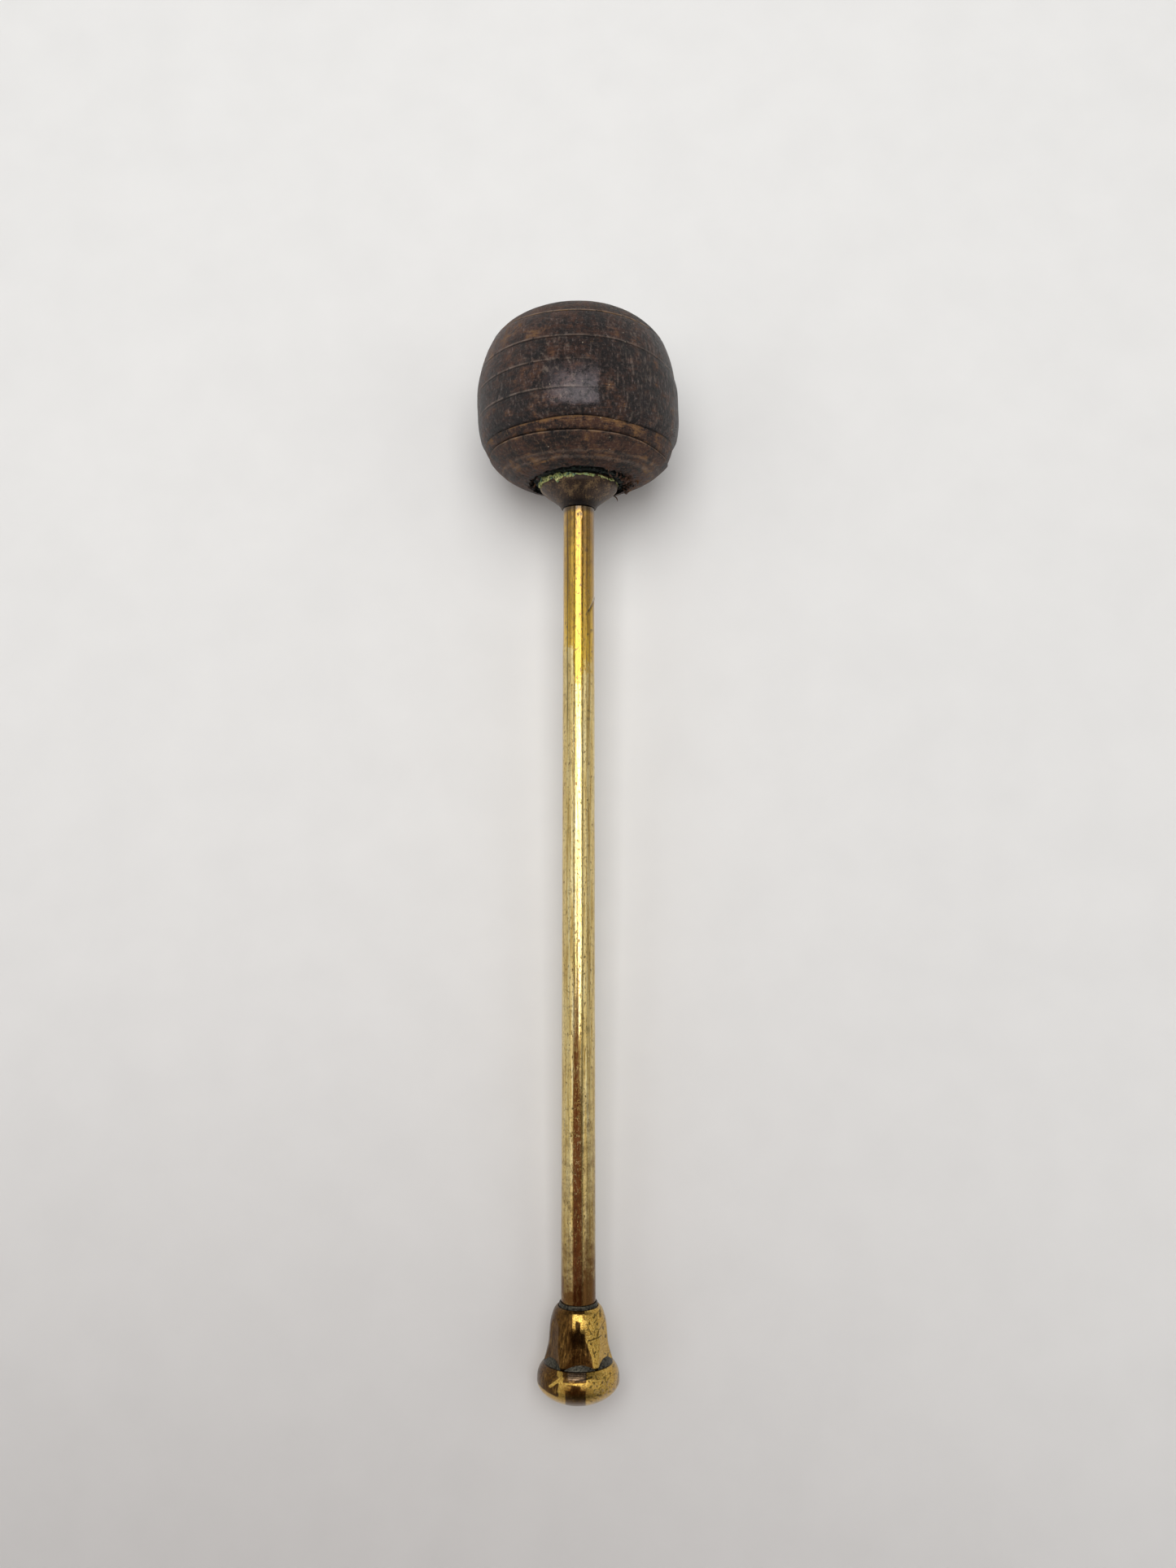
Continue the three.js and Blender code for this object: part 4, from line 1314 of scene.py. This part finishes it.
class GONGBEATER_OT_stage(bpy.types.Operator):
    """Set up the camera, the pale floor and the soft light"""

    bl_idname = "gong_beater.stage"
    bl_label = "Stage"

    def execute(self, context):
        settings = context.scene.gong_beater.stage
        lens = bpy.data.cameras.new("camera")
        lens.sensor_width = 36
        lens.lens = settings.focal_length
        camera = bpy.data.objects.new("camera", lens)
        stand = (settings.camera_aside / MM, settings.camera_station / MM, settings.camera_distance / MM)
        up = ALONG * cos(settings.camera_tilt) + AWAY * sin(settings.camera_tilt)
        back = ACROSS.cross(up)
        facing = Matrix((ACROSS, up, back)).transposed().to_4x4()
        camera.matrix_world = Matrix.Translation(TO_ROW @ Vector(stand)) @ facing
        context.scene.collection.objects.link(camera)
        context.scene.camera = camera

        paper = pale_paper("white_backdrop_paper", settings.floor_colour)
        floor = flat_sheet("floor", rectangle(-FLOOR_HALF, FLOOR_HALF, -FLOOR_HALF, FLOOR_HALF, 0), paper)
        for vertex in floor.data.vertices:
            vertex.co.z = -FLOOR_DROP * MM
        dark = glow("photographic_flag", settings.flag_colour, 1.0)
        height = settings.camera_distance / MM + 6
        flag = flat_sheet("flag", [(x, station, height) for x, station in FLAG], dark)
        flag.visible_camera = False
        for name, (level, *edges) in SCREENS.items():
            grey = glow(name, (level, level, level, 1.0), 1.0)
            screen = flat_sheet(name, rectangle(*edges, OVERHEAD), grey)
            screen.visible_camera = False

        panel = bpy.data.lights.new("panel", "AREA")
        panel.shape = "RECTANGLE"
        panel.size, panel.size_y = [side * MM for side in PANEL_SIZE]
        panel.energy = settings.panel_light * pi * panel.size * panel.size_y
        above = bpy.data.objects.new("panel", panel)
        above.matrix_world = Matrix.Translation(TO_ROW @ Vector((*PANEL_CENTRE, OVERHEAD))) @ TURN
        context.scene.collection.objects.link(above)

        world = bpy.data.worlds.new("white_room")
        world.use_nodes = True
        tree = world.node_tree
        tree.nodes.clear()
        direction = add(tree, "TexCoord").outputs["Generated"]
        parts = add(tree, "SeparateXYZ", direction)
        sideways = add(tree, "Math", parts.outputs["X"], parts.outputs["X"], operation="MULTIPLY")
        leftward = add(tree, "Math", parts.outputs["X"], -0.08, 0.1, operation="MULTIPLY_ADD")
        level = add(tree, "Math", sideways, 0.55, leftward, operation="MULTIPLY_ADD")
        brightness = add(tree, "Math", level, settings.room_light, operation="MULTIPLY")
        room = add(tree, "Background", (1.0, 1.0, 0.99, 1.0), brightness)
        add(tree, "OutputWorld", room)
        context.scene.world = world
        context.scene.view_settings.view_transform = "Standard"
        return {"FINISHED"}


STEPS = (
    GONGBEATER_OT_stage,
    GONGBEATER_OT_head,
    GONGBEATER_OT_crown,
    GONGBEATER_OT_ferrule,
    GONGBEATER_OT_handle,
    GONGBEATER_OT_knob,
)


class GONGBEATER_PT_panel(bpy.types.Panel):
    """Lists the steps that build the beater"""

    bl_idname = "GONGBEATER_PT_panel"
    bl_label = "Gong Beater"
    bl_space_type = "VIEW_3D"
    bl_region_type = "UI"
    bl_category = "Gong Beater"

    def draw(self, context):
        for step in STEPS:
            self.layout.operator(step.bl_idname)


CLASSES = (GongBeaterHead, GongBeaterBrass, GongBeaterStage, GongBeater, *STEPS, GONGBEATER_PT_panel)


def register():
    for kind in CLASSES:
        bpy.utils.register_class(kind)
    bpy.types.Scene.gong_beater = PointerProperty(type=GongBeater)


def unregister():
    del bpy.types.Scene.gong_beater
    for kind in reversed(CLASSES):
        bpy.utils.unregister_class(kind)


def main():
    register()
    bpy.ops.gong_beater.stage()
    bpy.ops.gong_beater.head()
    bpy.ops.gong_beater.crown()
    bpy.ops.gong_beater.ferrule()
    bpy.ops.gong_beater.handle()
    bpy.ops.gong_beater.knob()


if __name__ == "__main__":
    main()
